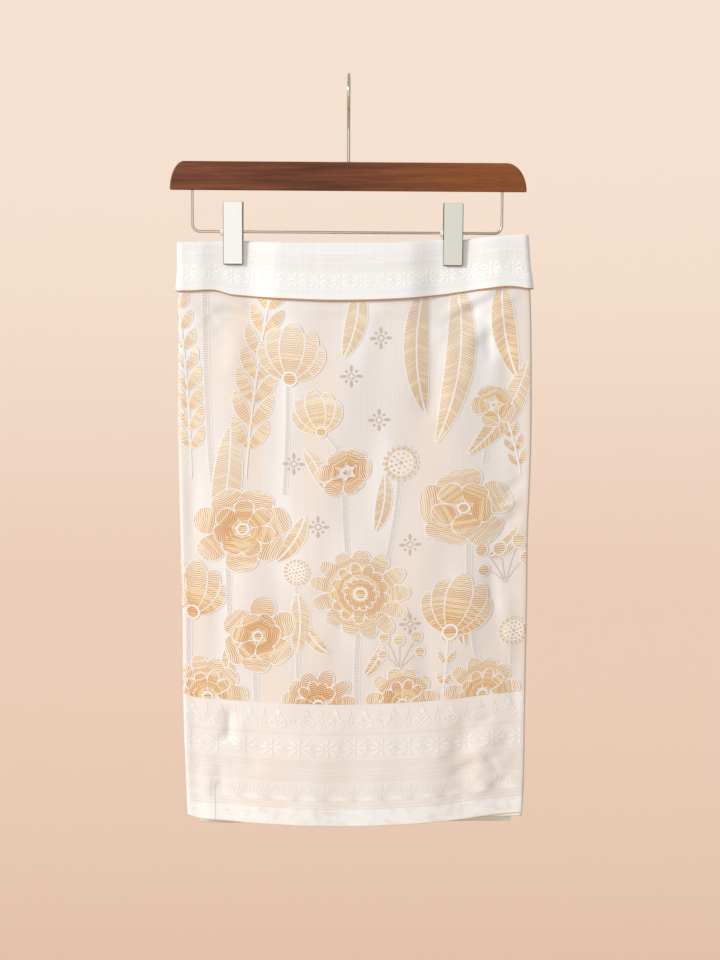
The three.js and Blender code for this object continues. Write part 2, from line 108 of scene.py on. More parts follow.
# Long soft folds, as in the solids; out is how far each stands out, or in
folds = {
    "front": table("x top bottom width out lean",
        (-128, -236, -520, 24, 1.4, -14),
        (-84, -240, -700, 30, -1.5, 10),
        (-14, -240, -610, 34, 1.3, -16),
        (44, -300, -800, 30, -1.4, 8),
        (94, -262, -372, 17, -1.8, -6),
        (143, -240, -300, 16, -1.7, 10),
        (122, -330, -640, 26, 1.5, 14),
        (118, -700, -818, 18, -2, 16),
        (152, -690, -800, 15, 1.8, -10),
        (-142, -660, -818, 18, -1.6, 6),
        (-52, -700, -830, 28, 1.4, 8),
    ),
    "back": table("x top bottom width out lean",
        (118, -236, -560, 26, 1.6, 14),
        (70, -240, -690, 30, -1.6, -12),
        (6, -240, -640, 36, 1.4, 12),
        (-62, -280, -810, 30, -1.5, -6),
        (-124, -240, -480, 22, 1.5, -12),
        (-132, -640, -830, 20, -1.7, 8),
        (134, -660, -830, 22, -1.8, 8),
        (40, -700, -840, 28, 1.5, 10),
    ),
}

# Short creases, each from one point to another
creases = {
    "front": table("x0 z0 x1 z1 width out",
        (180, -224, 92, -270, 6, -2.2),
        (172, -216, 96, -254, 6, 2.0),
        (188, -240, 108, -292, 7, 1.7),
        (160, -232, 134, -250, 7, 1.6),
        (148, -252, 153, -312, 7, -1.8),
        (132, -264, 128, -340, 9, 1.2),
        (99, -276, 86, -376, 12, -1.5),
        (-156, -234, -102, -246, 7, 1.7),
        (-152, -248, -92, -258, 6, -1.3),
        (-128, -252, -50, -247, 6, 1.0),
        (-60, -244, 8, -250, 6, 1.0),
        (22, -243, 74, -252, 6, 1.1),
        (164, -449, 194, -432, 6, -1.4),
        (160, -470, 194, -447, 6, 1.4),
        (156, -492, 192, -465, 6, -1.4),
        (152, -520, 160, -590, 7, -1.3),
        (170, -548, 178, -640, 8, 1.3),
        (108, -764, 148, -741, 6, -1.3),
        (112, -754, 152, -732, 7, 1.1),
        (146, -740, 168, -757, 6, -1.1),
        (132, -709, 162, -695, 6.5, -0.9),
        (140, -728, 178, -714, 7, 0.8),
        (168, -698, 173, -738, 7, -0.9),
        (124, -686, 130, -732, 8, -0.8),
        (124, -782, 160, -772, 7, 0.8),
        (96, -786, 132, -790, 7, -0.6),
        (-131, -680, -134, -730, 6, -2.2),
        (-119, -690, -123, -742, 8, 0.8),
        (-144, -742, -142, -788, 6.5, -1),
        (-168, -754, -152, -782, 7, 0.8),
        (-178, -706, -158, -724, 7, -0.7),
        (-104, -716, -109, -766, 9, -0.6),
        (-60, -700, -56, -756, 10, 0.5),
        (-168, -420, -174, -520, 8, -1.0),
        (186, -229, 150, -241, 6, 1.5),
        (140, -238, 84, -283, 8, 1.0),
        (112, -262, 93, -340, 14, 1.4),
        (166, -262, 176, -352, 9, -1.6),
        (-172, -238, -140, -262, 6, -1.3),
        (-118, -262, -130, -330, 10, 1.2),
        (152, -776, 182, -764, 6, -0.9),
        (158, -752, 186, -738, 6, 0.8),
        (88, -742, 118, -724, 8, 0.7),
        (176, -640, 188, -700, 6, -1.5),
        (-156, -700, -136, -716, 7, 0.8),
        (-150, -722, -120, -716, 6, -0.8),
        (-126, -754, -118, -800, 8, 0.7),
        (-20, -560, -34, -660, 13, 1.1),
        (74, -560, 92, -690, 12, -1.2),
    ),
    "back": table("x0 z0 x1 z1 width out",
        (-164, -228, -90, -268, 6, -2.0),
        (-152, -244, -82, -284, 7, 1.7),
        (152, -232, 104, -252, 7, 1.6),
        (96, -280, 88, -376, 9, -1.4),
        (-40, -246, 30, -251, 6, 1.0),
        (-164, -472, -182, -450, 5.5, -1.3),
        (-120, -696, -124, -750, 7, -2.0),
        (116, -718, 158, -698, 6, 1.9),
        (126, -754, 168, -741, 5.5, -2.0),
        (20, -730, 16, -796, 9, -1.2),
    ),
}

# Where the satin is crumpled with small crossing puckers
crumples = {
    "front": table("x z across up out",
        (146, -744, 44, 60, 0.3),
        (-156, -748, 32, 54, 0.25),
        (142, -256, 48, 40, 0.3),
        (184, -470, 20, 70, 0.6),
        (-160, -258, 34, 34, 0.5),
    ),
    "back": table("x z across up out",
        (132, -736, 48, 60, 0.7),
        (-130, -730, 44, 60, 0.6),
        (-128, -262, 48, 40, 0.6),
    ),
}

# Creases of the cuff's own outer leaf
cuffCreases = {
    "front": table("x0 z0 x1 z1 width out",
        (-168, -182, -150, -214, 7, 0.7),
        (-108, -186, -96, -220, 6, 0.6),
        (-76, -192, 10, -189, 5, 0.4),
        (20, -196, 88, -192, 5, 0.5),
        (132, -186, 142, -216, 6, 0.7),
        (158, -178, 166, -216, 7, 0.6),
        (84, -204, 70, -226, 7, 0.5),
    ),
    "back": table("x0 z0 x1 z1 width out",
        (-96, -184, -108, -216, 7, 0.6),
        (98, -186, 90, -218, 6, 0.6),
        (-40, -192, 46, -190, 5, 0.4),
    ),
}

# Places round the tube: 0 to 1 across the front, to 2 round the right fold, to 3 across the back
seams = {"left": -1.02, "right": 2.02, "under": 0.07, "flap": 1.12, "cuffLap": 1.3, "edgeHem": 0.983}
stepIn = {"from": 0.015, "to": 0.065}


def smooth(value):
    value = np.clip(value, 0, 1)
    return value * value * (3 - 2 * value)


def along(table, by, at, column):
    # a column of a table at a value of another column, on a smooth line through its rows
    rows = sorted(table, key=lambda row: row[by])
    xs = np.array([row[by] for row in rows], float)
    ys = np.array([row[column] for row in rows], float)
    at = np.asarray(at, float)
    i = np.clip(np.searchsorted(xs, at) - 1, 0, len(xs) - 2)
    before, after = np.maximum(i - 1, 0), np.minimum(i + 2, len(xs) - 1)
    span = xs[i + 1] - xs[i]
    t = np.clip((at - xs[i]) / span, 0, 1)
    slopeFrom = (ys[i + 1] - ys[before]) / (xs[i + 1] - xs[before]) * span
    slopeTo = (ys[after] - ys[i]) / (xs[after] - xs[i]) * span
    t2, t3 = t * t, t * t * t
    return ((2 * t3 - 3 * t2 + 1) * ys[i] + (t3 - 2 * t2 + t) * slopeFrom
            + (3 * t2 - 2 * t3) * ys[i + 1] + (t3 - t2) * slopeTo)


def foldOut(fold, x, z):
    down = (fold["top"] - z) / (fold["top"] - fold["bottom"])
    across = (x - fold["x"] - fold["lean"] * down) / fold["width"]
    return fold["out"] * np.exp(-across * across) * smooth(np.minimum(down, 1 - down) * 4)


def creaseOut(crease, x, z):
    # a soft line that dies away at its ends
    dx, dz = crease["x1"] - crease["x0"], crease["z1"] - crease["z0"]
    length = math.hypot(dx, dz)
    down = ((x - crease["x0"]) * dx + (z - crease["z0"]) * dz) / length ** 2
    aside = ((x - crease["x0"]) * dz - (z - crease["z0"]) * dx) / length / crease["width"]
    return crease["out"] * np.exp(-aside * aside) * smooth(np.minimum(down, 1 - down) * 3)


def clipGrip(clip, x, z):
    aside = 1 - smooth((np.abs(x - clip["clothX"]) - grip["halfWidth"]) / grip["aside"])
    below = 1 - smooth((grip["bottom"] - z) / grip["below"])
    return aside * below


def unevenness(x, z, side):
    # the slight waviness of hanging satin, as a few long crossing waves
    phase = 0 if side == "front" else 2.1
    return (0.5 * np.sin(x / 17 + z / 61 + phase) * np.sin(z / 83 + 1.3 * phase)
            + 0.28 * np.sin(x / 9.5 - z / 47 + 1 + phase) + 0.2 * np.sin(z / 21 + x / 33 + phase))


def puckered(x, z, side):
    total = 0
    for zone in crumples[side]:
        near = np.exp(-((x - zone["x"]) / zone["across"]) ** 2 - ((z - zone["z"]) / zone["up"]) ** 2)
        rising = np.sin((x * 0.45 - z * 0.9) / 4.2 + 1.3 * np.sin(z / 21 + x / 37 + zone["x"]))
        falling = np.sin((x * 0.75 + z * 0.66) / 5.6 + 1.2 * np.sin(x / 19 + zone["z"]))
        ridges = (1 - np.abs(rising)) ** 1.5 + 0.6 * (1 - np.abs(falling)) ** 1.5 - 0.5
        total = total + zone["out"] * near * ridges
    return total


# Where each kind of unevenness begins under the cuff, and the height over which it grows
underCuff = {"creases": (-214, 16), "waves": (-228, 40), "puckers": (-226, 14)}


def belowCuff(kind, z):
    start, reach = underCuff[kind]
    return smooth((start - z) / reach)


def sideEdges(z):
    radius = cloth["foldRadius"]
    return along(levels, "z", z, "left") + radius, along(levels, "z", z, "right") - radius


def halfDepth(x, z, side):
    left, right = sideEdges(z)
    across = np.clip((2 * x - left - right) / (right - left), -1, 1)
    swell = (1 - np.abs(across) ** 3) ** 2
    depth = cloth["foldRadius"] + (along(levels, "z", z, "depth") - cloth["foldRadius"]) * swell
    for fold in folds[side]:
        depth = depth + foldOut(fold, x, z) * (1 - across ** 6)
    for clip in clips:
        depth = depth + (grip["halfDepth"] - depth) * clipGrip(clip, x, z)
    # short creases die away only at the side folds
    free = (1 - across ** 14) * belowCuff("creases", z)
    for crease in creases[side]:
        depth = depth + creaseOut(crease, x, z) * free
    waves = unevenness(x, z, side) * belowCuff("waves", z) + puckered(x, z, side) * belowCuff("puckers", z)
    return np.maximum(depth + waves * free, 0.5)


def tubePoint(place, z, offset):
    # points of the tube's inner face, moved out by an offset; metres
    place, z, offset = np.broadcast_arrays(*(np.asarray(a, float) for a in (place, z, offset)))
    turn = np.mod(place, 4)
    left, right = sideEdges(z)
    isFront, isRight, isLeft = turn < 1, (turn >= 1) & (turn < 2), turn >= 3
    x = left + (right - left) * np.where(isFront, turn, 3 - turn)
    depth, slope = np.zeros_like(x), np.zeros_like(x)
    for side, chosen in (("front", isFront), ("back", (turn >= 2) & (turn < 3))):
        if chosen.any():
            xs, zs = x[chosen], z[chosen]
            depth[chosen] = halfDepth(xs, zs, side)
            slope[chosen] = halfDepth(xs + 0.5, zs, side) - halfDepth(xs - 0.5, zs, side)
    facing = np.where(isFront, -1.0, 1.0)
    length = np.sqrt(slope ** 2 + 1)
    px = x - slope / length * offset
    py = facing * (depth + offset / length)
    angle = (turn - np.where(isRight, 1.5, 2.5)) * math.pi
    radius = cloth["foldRadius"] + offset
    onFold = isRight | isLeft
    px = np.where(onFold, np.where(isRight, right, left) + radius * np.cos(angle), px)
    py = np.where(onFold, radius * np.sin(angle), py)
    return np.stack((px, py, z), -1) * mm


def heightAt(place, column):
    return along(heights, "x", tubePoint(place, cloth["cuffMiddle"], 0)[..., 0] / mm, column)


def flapOffset(place):
    step = cloth["wall"] + cloth["gap"]
    return step * smooth((np.asarray(place, float) - stepIn["from"]) / (stepIn["to"] - stepIn["from"]))


def noOffset(place):
    return np.zeros_like(np.asarray(place, float))


def frontCuffOffset(place):
    return flapOffset(place) + cloth["wall"] + cloth["gap"]


def backCuffOffset(place):
    return noOffset(place) + cloth["wall"] + cloth["gap"]


def spaced(start, end, count):
    return np.linspace(start, end, max(int(count), 2))


def placesBetween(start, end, step=cloth["grid"]):
    # places with the mesh's spacing on the flats and a finer one round the folds
    stops = [start] + [float(n) for n in range(-1, 4) if start < n < end] + [end]
    out = []
    for a, b in zip(stops, stops[1:]):
        isFlat = math.floor((a + b) / 2) in (0, 2, -2)
        length = (b - a) * cloth["flatWidth" if isFlat else "foldArc"]
        out += list(spaced(a, b, math.ceil(length / (step if isFlat else cloth["foldGrid"])) + 1))[:-1]
    return np.array(out + [end])


def linear(channel):
    return channel / 12.92 if channel <= 0.04045 else ((channel + 0.055) / 1.055) ** 2.4


def colour(hexValue):
    return tuple(linear(int(hexValue[i:i + 2], 16) / 255) for i in (1, 3, 5)) + (1.0,)


def meshPiece(name, points, faces, uv=None, weft=None, smoothFaces=True, weftUv=None):
    mesh = bpy.data.meshes.new(name)
    mesh.from_pydata([tuple(p) for p in points], [], [tuple(f) for f in faces])
    mesh.update()
    for layerName, values in (("cloth", uv), ("weft", weftUv)):
        if values is not None:
            layer = mesh.uv_layers.new(name=layerName)
            corners = np.concatenate([np.asarray(f) for f in faces])
            layer.data.foreach_set("uv", np.asarray(values, float)[corners].ravel())
    if weft is not None:
        attribute = mesh.color_attributes.new("figure", "FLOAT_COLOR", "POINT")
        attribute.data.foreach_set("color", np.asarray(weft, float).ravel())
    if smoothFaces:
        mesh.polygons.foreach_set("use_smooth", [True] * len(mesh.polygons))
    piece = bpy.data.objects.new(name, mesh)
    scene.collection.objects.link(piece)
    return piece


def sharpenRims(piece):
    # a thin sheet keeps its own shading up to its edges
    mesh = piece.data
    loops = np.empty(len(mesh.loops), int)
    mesh.loops.foreach_get("edge_index", loops)
    rims = np.bincount(loops, minlength=len(mesh.edges)) == 1
    mesh.attributes.new("sharp_edge", "BOOLEAN", "EDGE").data.foreach_set("value", rims)


def gridFaces(rows, columns, start=0):
    r, c = np.meshgrid(np.arange(rows - 1), np.arange(columns - 1), indexing="ij")
    a = start + (r * columns + c).ravel()
    return np.stack((a, a + columns, a + columns + 1, a + 1), -1)


def gridPiece(name, points, uv):
    rows, columns = points.shape[:2]
    return meshPiece(name, points.reshape(-1, 3), gridFaces(rows, columns).tolist(), uv.reshape(-1, 2))


def thicken(piece, thickness):
    sharpenRims(piece)
    shell = piece.modifiers.new("thickness", "SOLIDIFY")
    shell.thickness = thickness * mm
    shell.offset = -1
    return shell


print("materials")


def setInputs(tree, node, inputs):
    # an input is a value, a node whose first output it takes, or a (node, output) pair
    for key, value in inputs.items():
        source = value if isinstance(value, tuple) else (value, 0)
        if isinstance(source[0], bpy.types.Node):
            tree.links.new(source[0].outputs[source[1]], node.inputs[key])
        else:
            node.inputs[key].default_value = value


def addNode(tree, kind, inputs=None, **settings):
    node = tree.nodes.new(kind if "Node" in kind else "ShaderNode" + kind)
    for key, value in settings.items():
        setattr(node, key, value)
    setInputs(tree, node, inputs or {})
    return node


def newMaterial(name, values):
    material = bpy.data.materials.new(name)
    material.use_nodes = True
    tree = material.node_tree
    shader = tree.nodes["Principled BSDF"]
    setInputs(tree, shader, values)
    return material, tree, shader


def washed(tree, base, *washes):
    # lays tones over a base, each growing softly while its source goes from one value to another
    for source, low, high, most, tone in washes:
        limits = {0: source, 1: low, 2: high, 4: most}
        share = addNode(tree, "MapRange", limits, interpolation_type="SMOOTHSTEP")
        base = (addNode(tree, "Mix", {0: share, 6: base, 7: colour(tone)}, data_type="RGBA"), 2)
    return base


def grain(tree, source, scale, detail, roughness=0.5):
    # noise drawn out along an axis: the streaks of warp, pores of wood or brushing of metal
    scaled = addNode(tree, "Mapping", {"Vector": source, "Scale": scale})
    return addNode(tree, "TexNoise", {
        "Vector": scaled, "Scale": 1.0, "Detail": detail, "Roughness": roughness})


# Rows of fine woven lines across the cloth: height above the hem, half the row's height and the lines' pitch
borderLines = table("middle half pitch",
    (104.6, 1.7, 2.2),
    (71.0, 4.8, 2.3),
    (54.8, 4.8, 2.3),
    (23.6, 0.8, 2.0),
)
cuffLines = table("middle half pitch",
    (45.5, 4.6, 2.5),
    (33.0, 3.2, 2.5),
    (9.0, 1.8, 2.2),
)
satin = {
    "ground": "#EEE8E3", "shade": "#EAE2DC", "warm": "#EFDCCB", "border": "#F5EEE7", "white": "#F7F6F3",
    "highlight": "#FAF9F8",
    "cuff": "#F8F7F5", "cuffShade": "#F3F1EF", "reverse": "#C8935F", "edge": "#EBD8B8",
    "borderLine": "#DFD2C7", "cuffLine": "#E9E5E1",
    "tan": "#DFC3A2", "gold": "#DFAB6D", "goldDeep": "#D39148", "glint": "#FAE6B4",
    "star": "#CDBDA9", "stem": "#DDD3CB",
    "warp": 0.9,            # mm between the fine upright streaks, coarser than the real warp so that it shows
    "weftPitch": 2.5,       # mm between the gold lines
}


def wovenLines(tree, height, rows):
    # 1 on the fine woven lines, 0 elsewhere
    total = None
    for row in rows:
        inside = addNode(tree, "Math", {0: height, 1: row["middle"], 2: row["half"]}, operation="COMPARE")
        phase = addNode(tree, "Math", {0: height, 1: 2 * math.pi / row["pitch"]}, operation="MULTIPLY")
        wave = addNode(tree, "Math", {0: phase}, operation="SINE")
        crest = addNode(tree, "MapRange", {0: wave, 1: 0.0, 2: 0.8}, interpolation_type="SMOOTHSTEP")
        line = addNode(tree, "Math", {0: inside, 1: crest}, operation="MULTIPLY")
        total = addNode(tree, "Math", {0: total, 1: line}, operation="MAXIMUM") if total else line
    return total


def satinCloth(name, ground, shade, bordered, roughness=0.38):
    # jacquard satin: long warp floats give faint upright streaks; slow broad highlights and warm reflections
    # are painted into its colour
    material, tree, shader = newMaterial(name, {
        "Roughness": roughness, "Sheen Weight": 0.12, "Sheen Roughness": 0.4, "Specular IOR Level": 0.45})
    uv = addNode(tree, "UVMap", uv_map="cloth")
    position = addNode(tree, "TexCoord")
    parts = addNode(tree, "SeparateXYZ", {"Vector": (uv, "UV")})
    up = addNode(tree, "Math", {0: (parts, "Y"), 1: 100.0}, operation="MULTIPLY")
    streaks = grain(tree, (uv, "UV"), (100 / satin["warp"], 1.4, 1), 2.0)
    # painted reflection and highlight: long upright patches where hanging satin would throw back its warm
    # surroundings, and near-white painted highlights
    cloudy = grain(tree, (position, "Object"), (17, 17, 4.5), 1.0)
    base = washed(tree, colour(shade), (streaks, 0.34, 0.66, 1.0, ground),
                  (cloudy, 0.44, 0.7, 0.7 if bordered else 0.06, satin["warm"]),
                  (cloudy, 0.46, 0.3, 0.75 if bordered else 0.2, satin["highlight"]))
    if bordered:
        base = washed(tree, base, (up, 540.0, 260.0, 0.3, satin["warm"]),
                      (up, 139.0, 137.5, 0.5, satin["border"]))
    lines = wovenLines(tree, up, borderLines if bordered else cuffLines)
    faint = addNode(tree, "Math", {0: lines, 1: 0.6}, operation="MULTIPLY")
    lineTone = colour(satin["borderLine" if bordered else "cuffLine"])
    base = (addNode(tree, "Mix", {0: faint, 6: base, 7: lineTone}, data_type="RGBA"), 2)
    if bordered:
        mottled = grain(tree, (position, "Object"), (95, 95, 150), 3.0)
        patches = addNode(tree, "MapRange", {0: mottled, 1: 0.3, 2: 0.55}, interpolation_type="SMOOTHSTEP")
        edges = {0: up, 1: cloth["hemHeight"] + 0.6, 2: cloth["hemHeight"] - 0.6, 4: 0.9}
        hem = addNode(tree, "MapRange", edges, interpolation_type="SMOOTHSTEP")
        whiter = addNode(tree, "Math", {0: hem, 1: patches}, operation="MULTIPLY")
        base = (addNode(tree, "Mix", {0: whiter, 6: base, 7: colour(satin["white"])}, data_type="RGBA"), 2)
        base = washed(tree, base, (up, 1.9, 0.9, 0.85, satin["edge"]))
    relief = addNode(tree, "Math", {0: streaks, 1: lines}, operation="ADD")
    bump = addNode(tree, "Bump", {"Strength": 0.2, "Distance": 0.0001, "Height": relief})
    setInputs(tree, shader, {"Base Color": base, "Normal": bump})
    return material


def weftFigure(name, tones, metallic, roughness, between, glint):
    # supplementary weft: threads that float over the satin in curved lines, wider where the figure is dense
    material, tree, shader = newMaterial(name, {"Metallic": metallic, "Roughness": roughness})
    uv = addNode(tree, "UVMap", uv_map="weft")
    parts = addNode(tree, "SeparateXYZ", {"Vector": (uv, "UV")})
    info = addNode(tree, "VertexColor", layer_name="figure")
    values = addNode(tree, "SeparateColor", {"Color": (info, "Color")})
    across = addNode(tree, "Math", {0: (parts, "X"), 1: 100.0}, operation="MULTIPLY")
    run = addNode(tree, "Math", {0: (parts, "Y"), 1: 100.0}, operation="MULTIPLY")
    bow = addNode(tree, "Math", {0: across, 1: across}, operation="MULTIPLY")
    arched = addNode(tree, "Math", {0: run, 1: bow}, operation="SUBTRACT")
    phase = addNode(tree, "Math", {0: across, 1: 1.7}, operation="MULTIPLY")
    wave = addNode(tree, "Math", {0: phase}, operation="SINE")
    wavy = addNode(tree, "Math", {0: wave, 1: 0.6, 2: arched}, operation="MULTIPLY_ADD")
    counted = addNode(tree, "Math", {0: wavy, 1: satin["weftPitch"]}, operation="DIVIDE")
    saw = addNode(tree, "Math", {0: counted}, operation="FRACT")
    offMiddle = addNode(tree, "Math", {0: saw, 1: 0.5}, operation="SUBTRACT")
    away = addNode(tree, "Math", {0: offMiddle}, operation="ABSOLUTE")
    half = addNode(tree, "Math", {0: (values, "Red"), 1: 0.5}, operation="MULTIPLY")
    inside = addNode(tree, "Math", {0: half, 1: away}, operation="SUBTRACT")
    thread = addNode(tree, "MapRange", {0: inside, 1: -0.09, 2: 0.09}, interpolation_type="SMOOTHSTEP")
    # painted glints: single threads are painted lighter as if they catch the light, and which ones do changes
    # slowly over the cloth
    position = addNode(tree, "TexCoord")
    drift = addNode(tree, "VectorMath", {0: (position, "Object"), 1: (22, 22, 22)}, operation="MULTIPLY")
    single = addNode(tree, "VectorMath", {0: (uv, "UV"), 1: (10, 36, 0), 2: drift}, operation="MULTIPLY_ADD")
    spots = addNode(tree, "TexNoise", {"Vector": single, "Scale": 1.0, "Detail": 1.0})
    shining = washed(tree, colour(tones[0]), ((values, "Green"), 0.0, 0.5, 1.0, tones[1]),
                     ((values, "Green"), 0.5, 1.0, 1.0, tones[2]), (spots, 0.48, 0.62, glint, satin["glint"]))
    blended = addNode(tree, "Mix", {0: thread, 6: colour(between), 7: shining}, data_type="RGBA")
    bump = addNode(tree, "Bump", {"Strength": 0.35, "Distance": 0.00015, "Height": thread})
    setInputs(tree, shader, {"Base Color": (blended, 2), "Normal": bump})
    return material


def mottle(tree, noise, tone, darkest):
    # a tone that darkens a little where the noise is low
    darker = tuple(c * darkest for c in colour(tone)[:3]) + (1.0,)
    return addNode(tree, "Mix", {0: noise, 6: darker, 7: colour(tone)}, data_type="RGBA"), 2


def plainThread(name, tone):
    # fine mercerised thread: matt, with the slight mottling of its twist
    material, tree, shader = newMaterial(name, {"Roughness": 0.5, "Sheen Weight": 0.1})
    position = addNode(tree, "TexCoord")
    noise = addNode(tree, "TexNoise", {"Vector": (position, "Object"), "Scale": 900.0, "Detail": 1.0})
    setInputs(tree, shader, {"Base Color": mottle(tree, noise, tone, 0.86)})
    return material


def walnutWood(name):
    # oiled walnut, planed along its length: long dark pores and slow brown bands, low satin gloss
    material, tree, shader = newMaterial(name, {"Roughness": 0.55, "Specular IOR Level": 0.3})
    position = addNode(tree, "TexCoord")
    parts = addNode(tree, "SeparateXYZ", {"Vector": (position, "Object")})
    bands = grain(tree, (position, "Object"), (9.0, 160.0, 160.0), 4.0, 0.6)
    pores = grain(tree, (position, "Object"), (40.0, 1400.0, 1400.0), 2.0)
    base = washed(tree, colour("#562B17"), (bands, 0.3, 0.72, 1.0, "#824828"),
                  ((parts, "X"), -0.02, 0.17, 0.55, "#A05C29"), (pores, 0.56, 0.7, 0.5, "#3E2115"))
    bump = addNode(tree, "Bump", {"Strength": 0.3, "Distance": 0.0002, "Height": pores}, invert=True)
    setInputs(tree, shader, {"Base Color": base, "Normal": bump})
    return material


def platedMetal(name, tone, roughness, brushed, metallic=0.9):
    # nickel plate on steel: fine upright brushing softens its reflections; bright wire is only drawn
    material, tree, shader = newMaterial(name, {"Metallic": metallic, "Roughness": roughness})
    position = addNode(tree, "TexCoord")
    scale = (2600.0, 2600.0, 60.0) if brushed else (300.0, 300.0, 300.0)
    noise = grain(tree, (position, "Object"), scale, 2.0)
    rough = addNode(tree, "MapRange", {0: noise, 3: roughness * 0.8, 4: roughness * 1.25})
    setInputs(tree, shader, {"Base Color": mottle(tree, noise, tone, 0.95), "Roughness": rough})
    return material


def mouldedPlastic(name, tone):
    # soft moulded vinyl: even colour with a faint fine grain
    material, tree, shader = newMaterial(name, {"Roughness": 0.55, "Base Color": colour(tone)})
    position = addNode(tree, "TexCoord")
    noise = addNode(tree, "TexNoise", {"Vector": (position, "Object"), "Scale": 1500.0, "Detail": 2.0})
    bump = addNode(tree, "Bump", {"Strength": 0.2, "Distance": 0.00005, "Height": noise})
    setInputs(tree, shader, {"Normal": bump})
    return material


materials = {
    "satin": satinCloth("jacquardSatin", satin["ground"], satin["shade"], True),
    "cuff": satinCloth("jacquardSatinCuff", satin["cuff"], satin["cuffShade"], False, 0.4),
    "outline": satinCloth("satinOutline", "#F5F1ED", "#F1ECE7", False),
    "gold": weftFigure(
        "goldWeft", (satin["tan"], satin["gold"], satin["goldDeep"]), 0.12, 0.4, "#F4EBDF", 0.6),
    "tonal": weftFigure("tonalWeft", ("#F6F2EE", satin["stem"], satin["star"]), 0.0, 0.42, "#F0EAE5", 0.0),
    "borderWeft": weftFigure("borderWeft", ("#F8F3ED", "#E6DCD2", satin["star"]), 0.0, 0.36, "#F1EBE5", 0.0),
    "cuffWeft": weftFigure("cuffWeft", ("#FFFEFC", "#EFECE8", satin["star"]), 0.0, 0.3, "#F8F7F5", 0.0),
    # the brocade's warm wrong side, darkened as painted shade for the shadow line along the cuff's lower edge
    "reverse": plainThread("brocadeReverse", satin["reverse"]),
    "edge": plainThread("foldedEdge", satin["edge"]),
    "white": plainThread("whiteThread", "#FBFAF7"),
    # dark rims of the clip plates: painted shade along their sides and lower edges
    "cutEdge": platedMetal("cutSteelEdge", "#6E665B", 0.5, False),
    "stitch": plainThread("hemThread", "#DCD0C4"),
    "walnut": walnutWood("oiledWalnut"),
    # one satin nickel in two copies: lit for the left clip, and darker with painted shade for the right clip
    # and the ears
    "nickelBright": platedMetal("satinNickel", "#F6F5F1", 0.36, True, 0.3),
    "nickelDull": platedMetal("satinNickelShade", "#E7E6DC", 0.42, True, 0.45),
    "wire": platedMetal("drawnBrightWire", "#DCD0C0", 0.16, False),
    "pad": mouldedPlastic("gripVinyl", "#ECE8E0"),
}


def finishPiece(piece, nodes, slot, *finishes):
    for finish in finishes:
        piece.data.materials.append(materials[finish])
    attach(piece, "root")
    if nodes:
        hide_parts(*nodes)
    return piece


def finishRows(piece, columns, fromRow, toRow, index):
    # gives some rows of a grid another of the piece's materials
    for face in piece.data.polygons:
        if fromRow <= face.index // (columns - 1) < toRow:
            face.material_index = index


print("cloth")


def clothUv(place, z, hemColumn):
    # across from the middle and up from the hem, both in 0.1 m
    left, right = sideEdges(z)
    flat = np.clip(place, 0, 1)
    x = left + (right - left) * flat + (np.asarray(place, float) - flat) * cloth["foldArc"]
    return np.stack((x / 100, (z - heightAt(place, hemColumn)) / 100), -1)


def panelPiece(name, start, end, offsetOf, cuffOffsetOf, hemColumn, node, grid=cloth["grid"]):
    places = placesBetween(start, end, grid)
    turnRadius = (cuffOffsetOf(places) + cloth["wall"]) / 2
    top = heightAt(places, "top") - turnRadius - cloth["gap"]
    bottom = heightAt(places, hemColumn) + cloth["aboveFold"]
    down = spaced(0, 1, cloth["drop"] / grid)[:, None]
    z = top + (bottom - top) * down
    place = np.broadcast_to(places, z.shape)
    points = tubePoint(place, z, offsetOf(place) + cloth["wall"])
    piece = gridPiece(name, points, clothUv(place, z, hemColumn))
    thicken(piece, cloth["sheet"])
    return finishPiece(piece, [node], "brocade", "satin")


def turnedHem(name, start, end, offsetOf, hemColumn, node):
    # the cloth's lower edge, folded round and up the inside
    places = placesBetween(start, end)
    half = cloth["wall"] / 2
    profile = [(half + half * math.cos(a), half - half * math.sin(a)) for a in np.linspace(0, math.pi, 7)]
    profile += [(0, half + up) for up in spaced(1.5, cloth["hemHeight"] - 1, 7)]
    offset = np.array([p[0] for p in profile])[:, None]
    up = np.array([p[1] for p in profile])[:, None]
    z = heightAt(places, hemColumn) + up
    place = np.broadcast_to(places, z.shape)
    points = tubePoint(place, z, offsetOf(place) + offset)
    uv = clothUv(place, z, hemColumn)
    piece = gridPiece(name, points, uv)
    finishRows(piece, len(places), 0, 6, 1)
    thicken(piece, cloth["sheet"] * cloth["hemSheet"])
    return finishPiece(piece, [node], "brocade_border", "satin", "edge")


def edgeHemPiece():
    # the outer flap's free edge, folded round and back along the inside
    half = cloth["wall"] / 2
    edge = seams["flap"]
    turn = [(edge, half + half * math.cos(a), half * math.sin(a)) for a in np.linspace(0, math.pi, 7)]
    inward = [(p, 0.0, 0.0) for p in (*np.linspace(edge - 0.04, 1.0, 4), 0.99, seams["edgeHem"])]
    columns = np.array(turn + inward)
    down = spaced(0, 1, cloth["drop"] / (2 * cloth["grid"]))[:, None]
    places = columns[:, 0]
    top = heightAt(places, "top") - 4
    bottom = heightAt(places, "frontHem") + 1
    z = top + (bottom - top) * down
    # the turn reaches a little past the edge, along the fold's arc
    place = np.broadcast_to(places + columns[:, 2] / cloth["foldArc"], z.shape)
    offset = np.broadcast_to(columns[:, 1], z.shape)
    points = tubePoint(place, z, flapOffset(place) + offset)
    piece = gridPiece("frontEdgeHem", points, clothUv(place, z, "frontHem"))
    for face in piece.data.polygons:
        face.material_index = int(face.index % (len(columns) - 1) < len(turn))
    thicken(piece, cloth["sheet"] * cloth["hemSheet"])
    return finishPiece(piece, ["front_edge_hem"], "brocade", "satin", "edge")


cuffRim = {"from": 0.982, "row": 36}    # the last stretch of the leaf, where the cloth's warm wrong side shows, darkened with painted shade for the shadow line under the cuff


